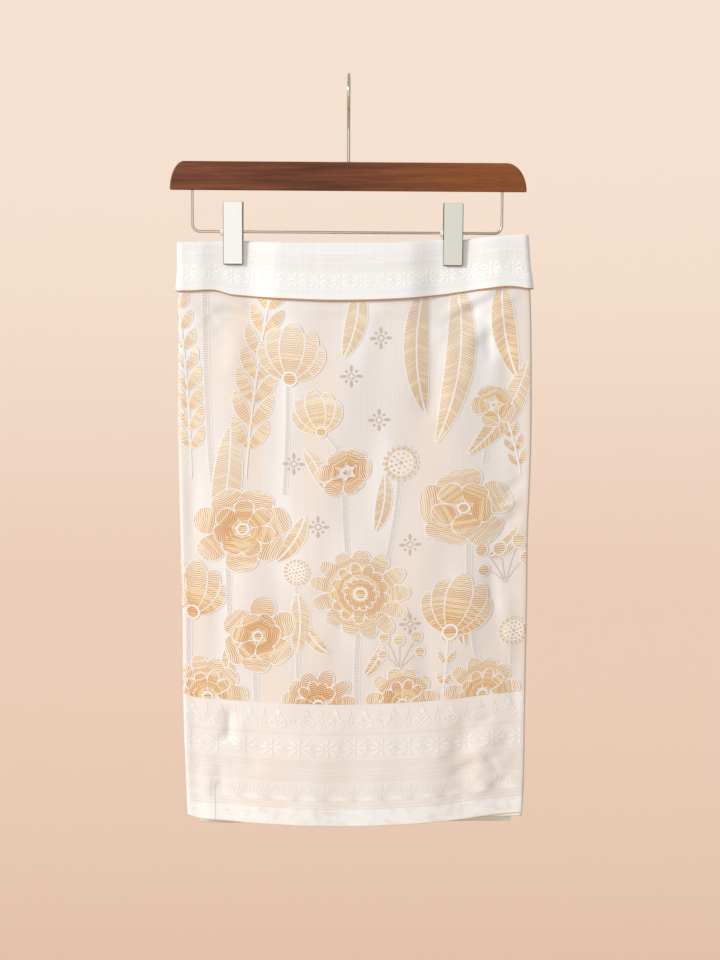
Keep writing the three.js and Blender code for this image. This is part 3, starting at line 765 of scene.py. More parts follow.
def cuffAway(x, z, part, side, held):
    # how far the cuff's leaf stands off the layer under it
    away = cloth["standOff"] * smooth(part * 2 - 1) * (1 - cloth["heldIn"] * held)
    for crease in cuffCreases[side]:
        away = away + np.maximum(creaseOut(crease, x, z), 0) * (1 - held)
    return away


def heldByClips(x):
    return np.maximum(*(clipGrip(clip, x, cloth["cuffMiddle"]) for clip in clips))


def cuffPath(places, cuffOffsetOf, side):
    # from inside the mouth over the turn at the top, down the outer leaf and a little way up behind it
    base = cuffOffsetOf(places)
    radius = (base + cloth["wall"]) / 2
    top, low = heightAt(places, "top"), heightAt(places, "cuff")
    x = tubePoint(places, cloth["cuffMiddle"], 0)[..., 0] / mm
    held = heldByClips(x)
    rows = []
    for angle in np.linspace(math.pi, 0, 11):
        rows.append((radius + radius * math.cos(angle), top - radius + radius * math.sin(angle)))
    for part in np.append(np.linspace(0.06, cuffRim["from"], cuffRim["row"] - 11), 1):
        z = top + (low - top) * part
        away = cuffAway(x, z, part, side, held)
        rows.append((base + cloth["wall"] + away, z))
    edge, z = rows[-1]
    half = cloth["wall"] / 2
    for angle in np.linspace(math.pi / 6, math.pi, 6):
        rows.append((edge - half + half * math.cos(angle), z - half * math.sin(angle) + half * 0.2))
    rows.append((edge - 2 * half, z + 3))
    offset = np.array([row[0] for row in rows])
    z = np.array([row[1] for row in rows])
    return offset, z


def cuffPiece(name, start, end, cuffOffsetOf, side, node):
    places = placesBetween(start, end)
    offset, z = cuffPath(places, cuffOffsetOf, side)
    place = np.broadcast_to(places, z.shape)
    points = tubePoint(place, z, offset)
    x = points[..., 0] / mm
    uv = np.stack((x / 100, (z - heightAt(places, "cuff")) / 100), -1)
    piece = gridPiece(name, points, uv)
    finishRows(piece, len(places), cuffRim["row"] - 1, len(z), 1)
    thicken(piece, cloth["sheet"])
    return finishPiece(piece, [node], "brocade_border", "cuff", "reverse")


backSpan = seams["right"] + 0.001, seams["left"] + 3.999
flap = panelPiece("frontFlap", seams["left"], seams["flap"], flapOffset, frontCuffOffset, "frontHem",
                  "front_panel")
under = panelPiece("underFlap", seams["under"], seams["right"], noOffset, frontCuffOffset, "underHem",
                   "under_panel", cloth["hiddenGrid"])
back = panelPiece("backPanel", *backSpan, noOffset, backCuffOffset, "backHem", "back_panel",
                  cloth["backGrid"])
edgeHem = edgeHemPiece()
frontHem = turnedHem("frontHem", seams["left"], seams["flap"], flapOffset, "frontHem", "front_hem")
underHem = turnedHem("underHem", seams["under"], seams["right"], noOffset, "underHem", "under_hem")
backHem = turnedHem("backHem", *backSpan, noOffset, "backHem", "back_hem")
frontCuff = cuffPiece("frontCuff", seams["left"], seams["cuffLap"], frontCuffOffset, "front", "front_cuff")
backCuff = cuffPiece("backCuff", seams["flap"] + 0.03, backSpan[1], backCuffOffset, "back", "back_cuff")


print("woven figures")


class Figures:
    # gathers flat figures in cloth millimetres, x across and v above the hem, before they are laid on a panel

    def __init__(self):
        self.patches = []

    def add(self, line, half, across=5, lift=0.0, fill=0.6, tint=0.5, bow=0.0, slant=0.0):
        # a figure about a middle line, with its half width and how full the weft is at each point
        line, half = np.asarray(line, float), np.asarray(half, float)
        tangent = np.gradient(line, axis=0)
        tangent /= np.maximum(np.linalg.norm(tangent, axis=1, keepdims=True), 1e-9)
        normal = np.stack((-tangent[:, 1], tangent[:, 0]), -1)
        s = np.linspace(-1, 1, across)
        out = half[:, None] * s[None, :]
        points = line[:, None, :] + normal[:, None, :] * out[..., None]
        run = np.concatenate(([0], np.cumsum(np.linalg.norm(np.diff(line, axis=0), axis=1))))
        bend = math.sqrt(bow) / max(half.max(), 1e-6)
        thread = np.stack((out * bend, run[:, None] + out * slant), -1)
        fills = np.broadcast_to(np.reshape(fill, (-1, 1)), out.shape)
        # neighbours lie a hair apart, so that no two ever share a plane
        self.patches.append((points, thread, fills, tint, lift + 0.006 * (len(self.patches) % 5)))

    def tip(self, since, centre, squash, turn):
        # leans the figures added since a count, as flowers that face a little aside
        c, s = math.cos(math.radians(turn)), math.sin(math.radians(turn))
        for points, *_ in self.patches[since:]:
            x, v = points[..., 0] - centre[0], points[..., 1] - centre[1]
            along, aside = x * c + v * s, (v * c - x * s) * squash
            points[..., 0] = centre[0] + along * c - aside * s
            points[..., 1] = centre[1] + along * s + aside * c


def bent(start, angle, length, bend, count):
    # points along a stroke that leaves at an angle, in degrees, and turns by bend in all; closer at both ends
    t = (1 - np.cos(np.linspace(0, math.pi, count))) / 2
    turn = np.radians(angle + bend * t)
    step = np.diff(t) * length
    middle = (turn[1:] + turn[:-1]) / 2
    x = np.concatenate(([0], np.cumsum(step * np.cos(middle))))
    v = np.concatenate(([0], np.cumsum(step * np.sin(middle))))
    return np.stack((start[0] + x, start[1] + v), -1), t


def headingOf(angle, length=1.0):
    return np.array([math.cos(math.radians(angle)), math.sin(math.radians(angle))]) * length


def petalHalf(t, width, rise, fall):
    shape = np.power(t, rise) * np.power(1 - t, fall)
    return np.maximum(width * shape / max(shape.max(), 1e-9), 0.12)


weave = {"strokeStep": 2.6, "petalStep": 2.8, "rim": 1.5}    # spacing of the meshes, and the outline's width


def steps(length, spacing=weave["strokeStep"], least=9):
    return max(least, int(math.ceil(length / spacing)) + 1)


def columnsOver(width):
    return max(5, 2 * int(math.ceil(width / weave["petalStep"])) + 1)


def petal(gold, edge, start, angle, length, width, bend=0, rise=0.7, fall=0.45, lift=0.0, tint=0.5,
          fill=(0.9, 0.4), bow=5.0, rim=weave["rim"], least=9):
    # one petal or leaf of gold weft, and a slightly larger one of plain satin under it as its outline
    line, t = bent(start, angle, length, bend, steps(length, weave["petalStep"], least))
    half = petalHalf(t, width, rise, fall)
    across = columnsOver(width)
    fills = fill[0] + (fill[1] - fill[0]) * t
    gold.add(line, half, across, lift + 0.03, fills, tint, bow * min(1, width / 9))
    outer, s = bent(start, angle, length + rim, bend, len(line))
    edge.add(outer - headingOf(angle, rim * 0.5), petalHalf(s, width + rim, rise, fall), across, lift, 1, 0)


def disc(target, centre, radius, lift=0.0, tint=0.5, fill=0.8, count=9):
    line, t = bent((centre[0], centre[1] - radius), 90, 2 * radius, 0, count)
    half = radius * np.sqrt(np.clip(1 - (2 * t - 1) ** 2, 0, 1))
    target.add(line, half, 7 if radius > 3 else 5, lift, fill, tint, 0)


def rosette(gold, edge, centre, radius, petals, spin, tint, rings=2, lift=0.3, sweep=360, width=0.9, curl=0,
            squash=1.0, turn=0):
    # an open flower, ring over ring; its petals differ a little in size and heading
    firstGold, firstEdge = len(gold.patches), len(edge.patches)
    for ring in range(rings):
        inner = radius * (0.26, 0.14, 0.08)[ring]
        outer = radius * (1.0, 0.64, 0.36)[ring]
        start = spin + (180 / petals if ring % 2 else 0)
        count = petals if sweep >= 360 else petals + 1 - ring % 2
        for k in range(count):
            uneven = math.sin(5.1 * k + spin + 2.3 * ring + centre[0])
            angle = start + k * sweep / petals + 4.0 * uneven * (6 / petals)
            heading = headingOf(angle)
            half = math.pi * outer * 0.72 * (sweep / 360) / petals * width * (1 + 0.1 * uneven)
            root, length = np.array(centre) + inner * heading, (outer - inner) * (1 - 0.08 * uneven)
            fill = (0.95, 0.62) if ring else (0.92, 0.36)
            petal(gold, edge, root, angle, length, half, curl, 0.75, 0.42, lift + 0.07 * ring,
                  min(tint + 0.12 * ring + 0.08 * uneven, 1), fill, 6.0)
    disc(edge, centre, radius * 0.15, lift + 0.07 * rings)
    disc(gold, centre, radius * 0.1, lift + 0.07 * rings + 0.03, min(tint + 0.2, 1), 0.75)
    gold.tip(firstGold, centre, squash, turn)
    edge.tip(firstEdge, centre, squash, turn)


def globe(gold, edge, centre, radius, tint, lift=0.24):
    # a round flower head: a fringed rim, a ring of seeds and a netted middle
    for angle in range(0, 360, 20):
        petal(gold, edge, centre + headingOf(angle, radius * 0.68), angle, radius * 0.36, radius * 0.1,
              0, 0.5, 0.4, lift, tint, (0.9, 0.5), 0, 0.8, 6)
    disc(edge, centre, radius * 0.74, lift + 0.04, 0, 1, 15)
    for ring, seeds in ((0.56, 12), (0.3, 6)):
        for k in range(seeds):
            seed = centre + headingOf(360 * k / seeds + 15, ring * radius)
            disc(gold, seed, radius * 0.085, lift + 0.08, tint, 0.7, 5)
    disc(gold, centre, radius * 0.12, lift + 0.08, tint, 0.8, 6)


def cupFlower(gold, edge, foot, size, angle, tint, lift=0.3):
    # a cup-shaped flower from the side: outer petals spread, inner ones upright
    for spread, length, width, bend, step in (
            (-62, 0.86, 0.2, 46, 0), (62, 0.86, 0.2, -46, 0), (-34, 0.98, 0.2, 26, 0.07),
            (34, 0.98, 0.2, -26, 0.07), (0, 1.05, 0.22, 0, 0.14)):
        petal(gold, edge, foot, angle + spread, size * length, size * width, bend, 0.75, 0.5, lift + step,
              tint, (0.95, 0.36), 6.0)
    disc(edge, foot, size * 0.15, lift + 0.21)
    disc(gold, foot, size * 0.11, lift + 0.24, min(tint + 0.15, 1), 0.85)


def frond(gold, edge, foot, angle, length, bend, leaf, pairs, tint, lift=0.16, lean=42):
    # a stem with leaflets in pairs, shorter towards its tip
    line, t = bent(foot, angle, length, bend, steps(length))
    edge.add(line, np.full(len(line), 1.1), 3, lift + 0.05, 1, 0)
    for k in range(pairs):
        at = 0.16 + 0.74 * k / max(pairs - 1, 1)
        point = (np.interp(at, t, line[:, 0]), np.interp(at, t, line[:, 1]))
        heading = angle + bend * at
        size = leaf * (1 - 0.5 * abs(at - 0.35))
        for side in (-1, 1):
            petal(gold, edge, point, heading + side * lean, size, size * 0.17, -side * 24, 0.8, 0.7, lift,
                  tint, (0.9, 0.45), 2.0, 1.1)
    petal(gold, edge, line[-1], angle + bend, leaf * 0.6, leaf * 0.13, 0, 0.8, 0.7, lift,
          tint, (0.9, 0.45), 2.0, 1.4)


def blade(gold, edge, foot, angle, length, width, bend, tint, lift=0.1):
    # a long leaf, split by its pale midrib
    line, t = bent(foot, angle, length, bend, steps(length))
    half = petalHalf(t, width, 0.8, 0.75)
    columns = columnsOver(width)
    edge.add(line, half + weave["rim"], columns, lift, 1, 0)
    tangent = np.gradient(line, axis=0)
    tangent /= np.linalg.norm(tangent, axis=1, keepdims=True)
    normal = np.stack((-tangent[:, 1], tangent[:, 0]), -1)
    for side in (-1, 1):
        middle = line + normal * (side * (half / 2 + 0.5))[:, None]
        gold.add(middle, np.maximum(half / 2 - 0.5, 0.05), max(4, columns // 2 + 1), lift + 0.1,
                 0.85 - 0.35 * t, tint, 0, 0.5 * side)


def stem(edge, tonal, foot, angle, length, bend, width, lift=0.0, tint=0.5):
    # a ribbed tonal stem between two pale lines
    line, _ = bent(foot, angle, length, bend, steps(length))
    tonal.add(line, np.full(len(line), width / 2), 3, lift + 0.03, 0.62, tint)
    if width > 2:
        edge.add(line, np.full(len(line), width / 2 + 1.2), 3, lift, 1, 0)
    return tuple(line[-1])


def berries(gold, edge, tonal, foot, angle, size, tint, lift=0.22):
    # round fruits on a forked stem
    for spread, reach, radius in (
            (-48, 0.72, 0.13), (-20, 1.0, 0.15), (14, 0.82, 0.14), (44, 0.98, 0.13), (70, 0.6, 0.12)):
        near = (foot[0] + 1.2 * math.sin(math.radians(-spread)), foot[1])
        end = stem(edge, tonal, near, angle + spread * 0.5, size * reach, spread * 0.6, 1.2, lift, 0.5)
        disc(edge, end, size * radius + 1.4, lift + 0.05)
        disc(gold, end, size * radius, lift + 0.09, tint, 0.62)


def eightPointStar(target, centre, size):
    # the small scattered star: a hollow lozenge, four pointed drops and four round ones between them
    for k in range(8):
        reach, length, width = (0.2, 0.3, 0.066) if k % 2 == 0 else (0.25, 0.13, 0.05)
        line, t = bent(centre + headingOf(45 * k, size * reach), 45 * k, size * length, 0, 7)
        target.add(line, petalHalf(t, size * width, 0.6, 0.5), 3, 0.06, 1, 1)
    for k in range(4):
        ends = [centre + headingOf(90 * k + angle, size * 0.15) for angle in (7, 83)]
        target.add(np.linspace(*ends, 4), np.full(4, size * 0.022), 3, 0.06, 1, 0.9)


# Where the figures stand on each side: x across and v above the hem, both in mm
fields = {
    "front": {
        "stems": table(
            "foot angle length bend width",
            ((-134, 132), 86, 190, 8, 5.6), ((-102, 132), 92, 60, 0, 5.2), ((8, 132), 92, 110, -8, 5.4),
            ((150, 132), 104, 190, -16, 5.6), ((108, 132), 88, 84, 6, 5.0),
            ((-176, 132), 92, 100, -4, 5.2), ((40, 296), 76, 92, 10, 4.2), ((-54, 132), 94, 140, -6, 4.0),
            ((178, 132), 90, 60, 0, 4.0), ((-2, 306), 96, 66, -6, 4.6), ((-12, 422), 130, 22, 0, 4.0),
            ((146, 396), 84, 42, -6, 4.2), ((-148, 378), 94, 206, -4, 5.4), ((-70, 370), 86, 128, 4, 4.2)),
        "blades": table(
            "foot angle length width bend tint",
            ((94, 424), 64, 184, 15, 40, 0.1), ((128, 408), 34, 118, 13, 44, 0.2),
            ((82, 456), 106, 146, 13, -32, 0.14), ((182, 486), 112, 112, 12, -26, 0.3),
            ((-6, 520), 62, 80, 11, 34, 0.16), ((-80, 296), 40, 62, 9, 36, 0.3),
            ((28, 330), 66, 64, 8, 30, 0.22), ((-142, 150), 66, 60, 8, 24, 0.4),
            ((150, 292), 12, 50, 8, 60, 0.2), ((-146, 316), 74, 128, 15, 16, 0.08),
            ((84, 320), 70, 92, 12, -34, 0.14), ((-58, 196), 76, 66, 10, 26, 0.22),
            ((126, 196), 100, 58, 8, -24, 0.3), ((-26, 376), 100, 52, 8, 36, 0.12),
            ((-22, 196), 150, 42, 7, -40, 0.3), ((16, 170), 40, 40, 6, 40, 0.4)),
        "fronds": table(
            "foot angle length bend leaf pairs tint",
            ((-172, 382), 90, 202, 8, 33, 8, 0.16), ((-112, 386), 86, 206, -8, 42, 7, 0.24),
            ((186, 380), 100, 66, 8, 20, 4, 0.4), ((102, 146), 82, 62, 6, 18, 3, 0.5)),
        "rosettes": table(
            "centre radius petals spin tint rings width curl squash turn",
            ((-116, 330), 54, 7, 12, 0.6, 2, 1.0, 8, 0.86, 20),
            ((12, 262), 54, 13, 0, 0.36, 3, 1.0, 10, 0.92, -30),
            ((124, 350), 52, 5, 18, 0.3, 2, 1.0, 14, 0.82, -14),
            ((-100, 212), 44, 6, 30, 0.68, 2, 0.98, -16, 0.88, 50),
            ((-4, 396), 31, 6, 0, 0.8, 1, 1.0, 0, 0.8, 35),
            ((156, 458), 25, 5, 40, 0.42, 1, 1.0, 0, 0.85, -40)),
        "cups": table(
            "foot size angle tint",
            ((110, 214), 62, 76, 0.46), ((-172, 234), 56, 84, 0.55), ((-30, 440), 44, 104, 0.24),
            ((-64, 496), 58, 86, 0.14)),
        "halves": table(
            "centre radius tint",
            ((-156, 140), 46, 0.62), ((-34, 138), 40, 0.78), ((58, 138), 40, 0.7), ((146, 140), 42, 0.5)),
        "berries": table(
            "foot angle size tint",
            ((54, 176), 78, 40, 0.3), ((170, 262), 88, 48, 0.3)),
        "globes": table(
            "centre radius tint",
            ((56, 404), 19, 0.28), ((-57, 285), 14, 0.3), ((180, 208), 16, 0.3)),
        "stars": (
            (32, 452), (2, 500), (34, 540), (66, 314), (-60, 404), (-34, 336), (66, 226)),
        "starSize": 24,
    },
    "back": {
        "stems": table(
            "foot angle length bend width",
            ((-120, 132), 88, 300, 16, 4.2), ((-20, 132), 94, 210, -12, 4.0),
            ((86, 132), 86, 330, 14, 4.2), ((160, 132), 92, 200, -8, 4.0), ((-70, 360), 80, 200, 20, 4.0)),
        "blades": table(
            "foot angle length width bend tint",
            ((-150, 420), 66, 170, 15, 38, 0.2), ((-40, 330), 112, 130, 13, -34, 0.3),
            ((150, 400), 104, 170, 14, -30, 0.3), ((40, 170), 60, 90, 12, 30, 0.5)),
        "fronds": table(
            "foot angle length bend leaf pairs tint",
            ((60, 380), 84, 180, 24, 38, 7, 0.3), ((-6, 400), 100, 160, -26, 34, 6, 0.25),
            ((-170, 250), 80, 150, 12, 30, 6, 0.5)),
        "rosettes": table(
            "centre radius petals spin tint rings",
            ((-104, 300), 54, 8, 10, 0.65, 2), ((36, 286), 52, 12, 0, 0.55, 3),
            ((134, 330), 44, 6, 20, 0.8, 2), ((-30, 450), 34, 6, 0, 0.9, 1),
            ((-140, 470), 32, 5, 15, 0.4, 1)),
        "cups": table(
            "foot size angle tint",
            ((-36, 204), 58, 92, 0.5), ((120, 206), 54, 84, 0.6)),
        "halves": table(
            "centre radius tint",
            ((-136, 140), 42, 0.72), ((-44, 138), 38, 0.85), ((62, 138), 42, 0.78),
            ((158, 140), 36, 0.62)),
        "berries": [],
        "globes": [],
        "stars": (
            (20, 470), (80, 520), (-86, 520), (-60, 250), (170, 470), (96, 420), (10, 550)),
        "starSize": 25,
    },
}


def fieldFigures(side):
    field = fields[side]
    gold, edge, tonal = Figures(), Figures(), Figures()
    for row in field["stems"]:
        stem(edge, tonal, **row, tint=0.62)
    for row in field["blades"]:
        blade(gold, edge, **row)
    for row in field["fronds"]:
        frond(gold, edge, **row)
    for row in field["rosettes"]:
        rosette(gold, edge, **row)
    for row in field["cups"]:
        cupFlower(gold, edge, **row)
    # half flowers that rise from the border
    for row in field["halves"]:
        rosette(gold, edge, petals=5, spin=8, sweep=164, width=1.0, **row)
    for row in field["berries"]:
        berries(gold, edge, tonal, **row)
    for row in field["globes"]:
        globe(gold, edge, **row)
    for centre in field["stars"]:
        eightPointStar(tonal, centre, field["starSize"])
    return gold, edge, tonal


def closedLine(target, points, half, lift=0.03, tint=0.0):
    # a thin line round a closed outline
    points = np.asarray(points, float)
    target.add(np.concatenate((points, points[:1])), np.full(len(points) + 1, half), 3, lift, 1, tint)


def ringPoints(x, v, across, up, count=16):
    angles = np.linspace(0, 2 * math.pi, count, endpoint=False)
    return np.stack((x + across * np.cos(angles), v + up * np.sin(angles)), -1)


def smallPetal(target, start, angle, length, width, bend=0, tint=0.0, stretch=1.0):
    # begins a little out from its start, so that petals of one fan stay apart there
    line, t = bent(start, angle, length, bend, 8)
    line, t = line[1:], (t[1:] - t[1]) / (1 - t[1])
    line[:, 0] = start[0] + (line[:, 0] - start[0]) * stretch
    target.add(line, petalHalf(t, width, 0.65, 0.5), 3, 0.03, 1, tint)


def rosetteRow(tonal, left, low, pitch, count, size):
    # eight-petalled rosettes, with a lozenge between almond leaves and two rings between each pair
    for k in range(count):
        x = left + pitch * (k + 0.3)
        for angle in range(0, 360, 45):
            start = (x, low) + headingOf(angle, 0.27 * size) * (1.3, 1)
            smallPetal(tonal, start, angle, 0.74 * size, 0.14 * size, 0, 0.0, 1.3)
        disc(tonal, (x, low), 0.14 * size, 0.03, 0, 1, 6)
        middle = x + pitch / 2
        across, up = 0.4 * size, 0.5 * size
        corners = ((-across, 0), (0, up), (across, 0), (0, -up))
        closedLine(tonal, [(middle + dx, low + dv) for dx, dv in corners], 0.4)
        disc(tonal, (middle, low), 0.14 * size, 0.03, 0.3, 1, 6)
        for side in (-1, 1):
            closedLine(tonal, ringPoints(middle, low + side * 0.92 * size, 0.2 * size, 0.16 * size, 10), 0.35)
            for lean in (-1, 1):
                root = (middle + lean * 0.2 * size, low + side * 0.6 * size)
                smallPetal(tonal, root, 90 - lean * (90 - side * 32), 0.62 * size, 0.11 * size, 0, 0.1)


def fanRow(tonal, left, low, pitch, count, height):
    # double arches, each over a fan of narrow petals, with buds between
    for k in range(count):
        x = left + pitch * (k + 0.5)
        for scale, line in ((1.0, 0.42), (0.86, 0.28)):
            arch = [(x + side * pitch * 0.45 * scale * math.cos(a), low + height * scale * math.sin(a) ** 0.8)
                    for side, a in [(1, b) for b in np.linspace(0, math.pi / 2, 9)]
                    + [(-1, b) for b in np.linspace(math.pi / 2, 0, 9)[1:]]]
            tonal.add(arch, np.full(len(arch), line), 3, 0.03, 1, 0)
        for angle in range(14, 170, 19):
            length = height * (0.7 if angle == 90 else 0.6)
            smallPetal(tonal, (x, low + 1.5), angle, length, 1.0, 0, 0.04 * (angle % 2))
        smallPetal(tonal, (x + pitch / 2, low + height * 0.42), 90, height * 0.5, 1.0, 0, 0.2)
        for side in (-1, 1):
            smallPetal(tonal, (x + pitch / 2, low + height * 0.3), 90 - side * 34, height * 0.3, 0.8, 0, 0.15)
        smallPetal(tonal, (x + pitch / 2, low + height * 0.04), 90, height * 0.22, 0.8, 0, 0.25)


def sprigRow(tonal, left, low, pitch, count):
    # leafy sprigs between curled tendrils, every third one a little darker
    for k in range(count):
        x = left + pitch * (k + 0.4)
        tint = 0.24 if k % 3 == 1 else 0.0
        for level, (length, spread) in enumerate(((9, 66), (10, 52), (9, 38), (8, 24))):
            for side in (-1, 1):
                foot = (x, low + 3 + 4.2 * level)
                smallPetal(tonal, foot, 90 - side * spread, length, 1.0, side * 22, tint)
        smallPetal(tonal, (x, low + 16), 90, 10, 1.1, 0, tint)
        for side in (-1, 1):
            curl, t = bent((x + side * 4, low + 1.5), 90 - side * 70, 22, side * 190, 16)
            tonal.add(curl, petalHalf(t, 0.6, 0.4, 0.5) + 0.2, 3, 0.03, 1, 0.05)
            disc(tonal, (x + side * 13, low + 19), 1.0, 0.03, 0.15, 1, 5)
        closedLine(tonal, ringPoints(x + pitch / 2, low + 12, 2.4, 4.2, 12), 0.35)
        smallPetal(tonal, (x + pitch / 2, low + 17), 90, 8, 1.0, 0, 0.12)
        for side in (-1, 1):
            smallPetal(tonal, (x + pitch / 2, low + 2), 90 - side * 50, 7, 0.8, 0, 0.12)


def zigzag(tonal, left, right, low, high, pitch):
    xs = np.arange(left, right, pitch / 2)
    line = np.stack((xs, np.where(np.arange(len(xs)) % 2 == 0, low, high)), -1)
    tonal.add(line, np.full(len(xs), 0.35), 3, 0.03, 1, 0.1)
    for x in xs[1::2]:
        disc(tonal, (x, low + 0.6), 0.55, 0.03, 0.2, 1, 5)


def borderFigures(tonal, left, right):
    # the rows of the woven border, from the hem up
    width = right - left
    fanRow(tonal, left, 27.5, width / 12, 12, 22)
    zigzag(tonal, left, right, 60.5, 65.5, 7.2)
    rosetteRow(tonal, left, 89, width / 12.5, 13, 10)
    sprigRow(tonal, left, 107.5, width / 12, 12)


def cuffFigures(tonal, left, right):
    rosetteRow(tonal, left, 21, (right - left) / 16, 16, 7.8)
    zigzag(tonal, left, right, 37.0, 40.0, 5.4)


def layFigures(name, figures, surface, limits, material, slot, thickness=0.1):
    # lays the gathered figures on a panel as thin raised weft, cut off at the limits of their field
    points, cloths, wefts, info, faces = [], [], [], [], []
    start = 0
    for flat, thread, fills, tint, lift in figures.patches:
        x = np.clip(flat[..., 0], limits["left"], limits["right"]).ravel()
        v = np.clip(flat[..., 1], limits["low"], limits["high"]).ravel()
        quads = gridFaces(*flat.shape[:2])
        a, b, c, d = (quads[:, i] for i in range(4))
        area = (x[c] - x[a]) * (v[d] - v[b]) - (x[d] - x[b]) * (v[c] - v[a])
        outwards = np.where((area * limits["facing"] > 0)[:, None], quads, quads[:, ::-1])
        quads = outwards[np.abs(area) > 0.04]
        if not len(quads):
            continue
        points.append(surface(x, v, lift))
        cloths.append(np.stack((x, v), -1) / 100)
        wefts.append(thread.reshape(-1, 2) / 100)
        info.append(np.stack(np.broadcast_arrays(fills.ravel(), tint, 0.0, 1.0), -1))
        faces.append(quads + start)
        start += len(x)
    points, faces = np.concatenate(points), np.concatenate(faces)
    used = np.unique(faces)
    renumber = np.full(len(points), -1)
    renumber[used] = np.arange(len(used))
    piece = meshPiece(name, points[used], renumber[faces].tolist(), np.concatenate(cloths)[used],
                      np.concatenate(info)[used], weftUv=np.concatenate(wefts)[used])
    thicken(piece, thickness)
    print(name, "faces", len(faces))
    return finishPiece(piece, [], slot, material)


def placeOf(x, z):
    # the place round the tube of a point across the front; past a fold line it runs on round the fold
    left, right = sideEdges(z)
    onFlat = np.clip(x, left, right)
    return (onFlat - left) / (right - left) + (x - onFlat) / cloth["foldArc"]


def onFlap(x, v, lift):
    z = along(heights, "x", x, "frontHem") + v
    place = np.clip(placeOf(x, z), seams["left"] + 0.01, seams["flap"])
    return tubePoint(place, z, flapOffset(place) + cloth["wall"] + laid + lift)


def onBack(x, v, lift):
    z = along(heights, "x", x, "backHem") + v
    place = 3 - np.clip(placeOf(x, z), *backReach)
    return tubePoint(place, z, cloth["wall"] + laid + lift)


def onCuff(x, v, lift):
    top, low = along(heights, "x", x, "top"), along(heights, "x", x, "cuff")
    z = low + v
    away = cuffAway(x, z, (top - z) / (top - low), "front", heldByClips(x))
    place = placeOf(x, z)
    return tubePoint(place, z, frontCuffOffset(place) + cloth["wall"] + laid + lift + away)


backReach = (-0.9, 0.97)
thin = 0.06    # thickness of the weft in the bands above the hem and on the cuff
laid = 0.2     # how far figures lie off the panel, so that the two meshes never cross
fieldFront = {"left": -196, "right": 196, "low": 139, "high": 592, "facing": 1}
fieldBack = {"left": -172, "right": 197, "low": 139, "high": 590, "facing": -1}
borderFront = {"left": -188, "right": 194, "low": 24, "high": 138, "facing": 1}
borderBack = {"left": -172, "right": 197, "low": 24, "high": 138, "facing": -1}
cuffField = {"left": -182, "right": 192, "low": 1, "high": 45, "facing": 1}


gold, edge, tonal = fieldFigures("front")
goldFront = layFigures("goldFiguresFront", gold, onFlap, fieldFront, "gold", "brocade")
edgeFront = layFigures("outlinesFront", edge, onFlap, fieldFront, "outline", "brocade")
tonalFront = layFigures("tonalFiguresFront", tonal, onFlap, fieldFront, "tonal", "brocade")
border = Figures()
borderFigures(border, -186, 194)
borderOnFront = layFigures("borderFront", border, onFlap, borderFront, "borderWeft", "brocade_border", thin)
gold, edge, tonal = fieldFigures("back")
goldBack = layFigures("goldFiguresBack", gold, onBack, fieldBack, "gold", "brocade")
onCuffOnly = Figures()
cuffFigures(onCuffOnly, -180, 192)
borderOnCuff = layFigures("borderCuff", onCuffOnly, onCuff, cuffField, "cuffWeft", "brocade_border", thin)
edgeBack = layFigures("outlinesBack", edge, onBack, fieldBack, "outline", "brocade")
tonalBack = layFigures("tonalFiguresBack", tonal, onBack, fieldBack, "tonal", "brocade")
borderOnBack = layFigures("borderBack", border, onBack, borderBack, "borderWeft", "brocade_border", thin)


print("stitches")
stitch = {"spacing": 3.4, "length": 2.5, "thick": 0.5}
picot = {"spacing": 3.1, "length": 2.3, "thick": 1.0}
stitchLift = 0.15


def beadTree(name, material):
    # one small bead of thread after another, laid along a line
    tree = bpy.data.node_groups.new(name, "GeometryNodeTree")
    tree.interface.new_socket("Geometry", in_out="OUTPUT", socket_type="NodeSocketGeometry")
    tree.interface.new_socket("Geometry", in_out="INPUT", socket_type="NodeSocketGeometry")
    sockets = {}
    for label in ("Spacing", "Length", "Thickness"):
        sockets[label] = tree.interface.new_socket(
            label, in_out="INPUT", socket_type="NodeSocketFloat").identifier
    inputs = addNode(tree, "NodeGroupInput")
    path = addNode(tree, "GeometryNodeMeshToCurve", {"Mesh": (inputs, "Geometry")})
    spread = addNode(tree, "GeometryNodeResampleCurve", {
        "Curve": path, "Length": (inputs, "Spacing")}, mode="LENGTH")
    tangent = addNode(tree, "GeometryNodeInputTangent")
    turn = addNode(tree, "FunctionNodeAlignRotationToVector", {"Vector": tangent}, axis="Z")
    bead = addNode(tree, "GeometryNodeMeshUVSphere", {"Segments": 6, "Rings": 5, "Radius": 0.5})
    size = addNode(tree, "CombineXYZ", {
        "X": (inputs, "Thickness"), "Y": (inputs, "Thickness"), "Z": (inputs, "Length")})
    laidOut = addNode(tree, "GeometryNodeInstanceOnPoints", {
        "Points": spread, "Instance": bead, "Rotation": turn, "Scale": size})
    solid = addNode(tree, "GeometryNodeRealizeInstances", {0: laidOut})
    finished = addNode(tree, "GeometryNodeSetMaterial", {"Geometry": solid, "Material": material})
    addNode(tree, "NodeGroupOutput", {0: finished})
    return tree, sockets


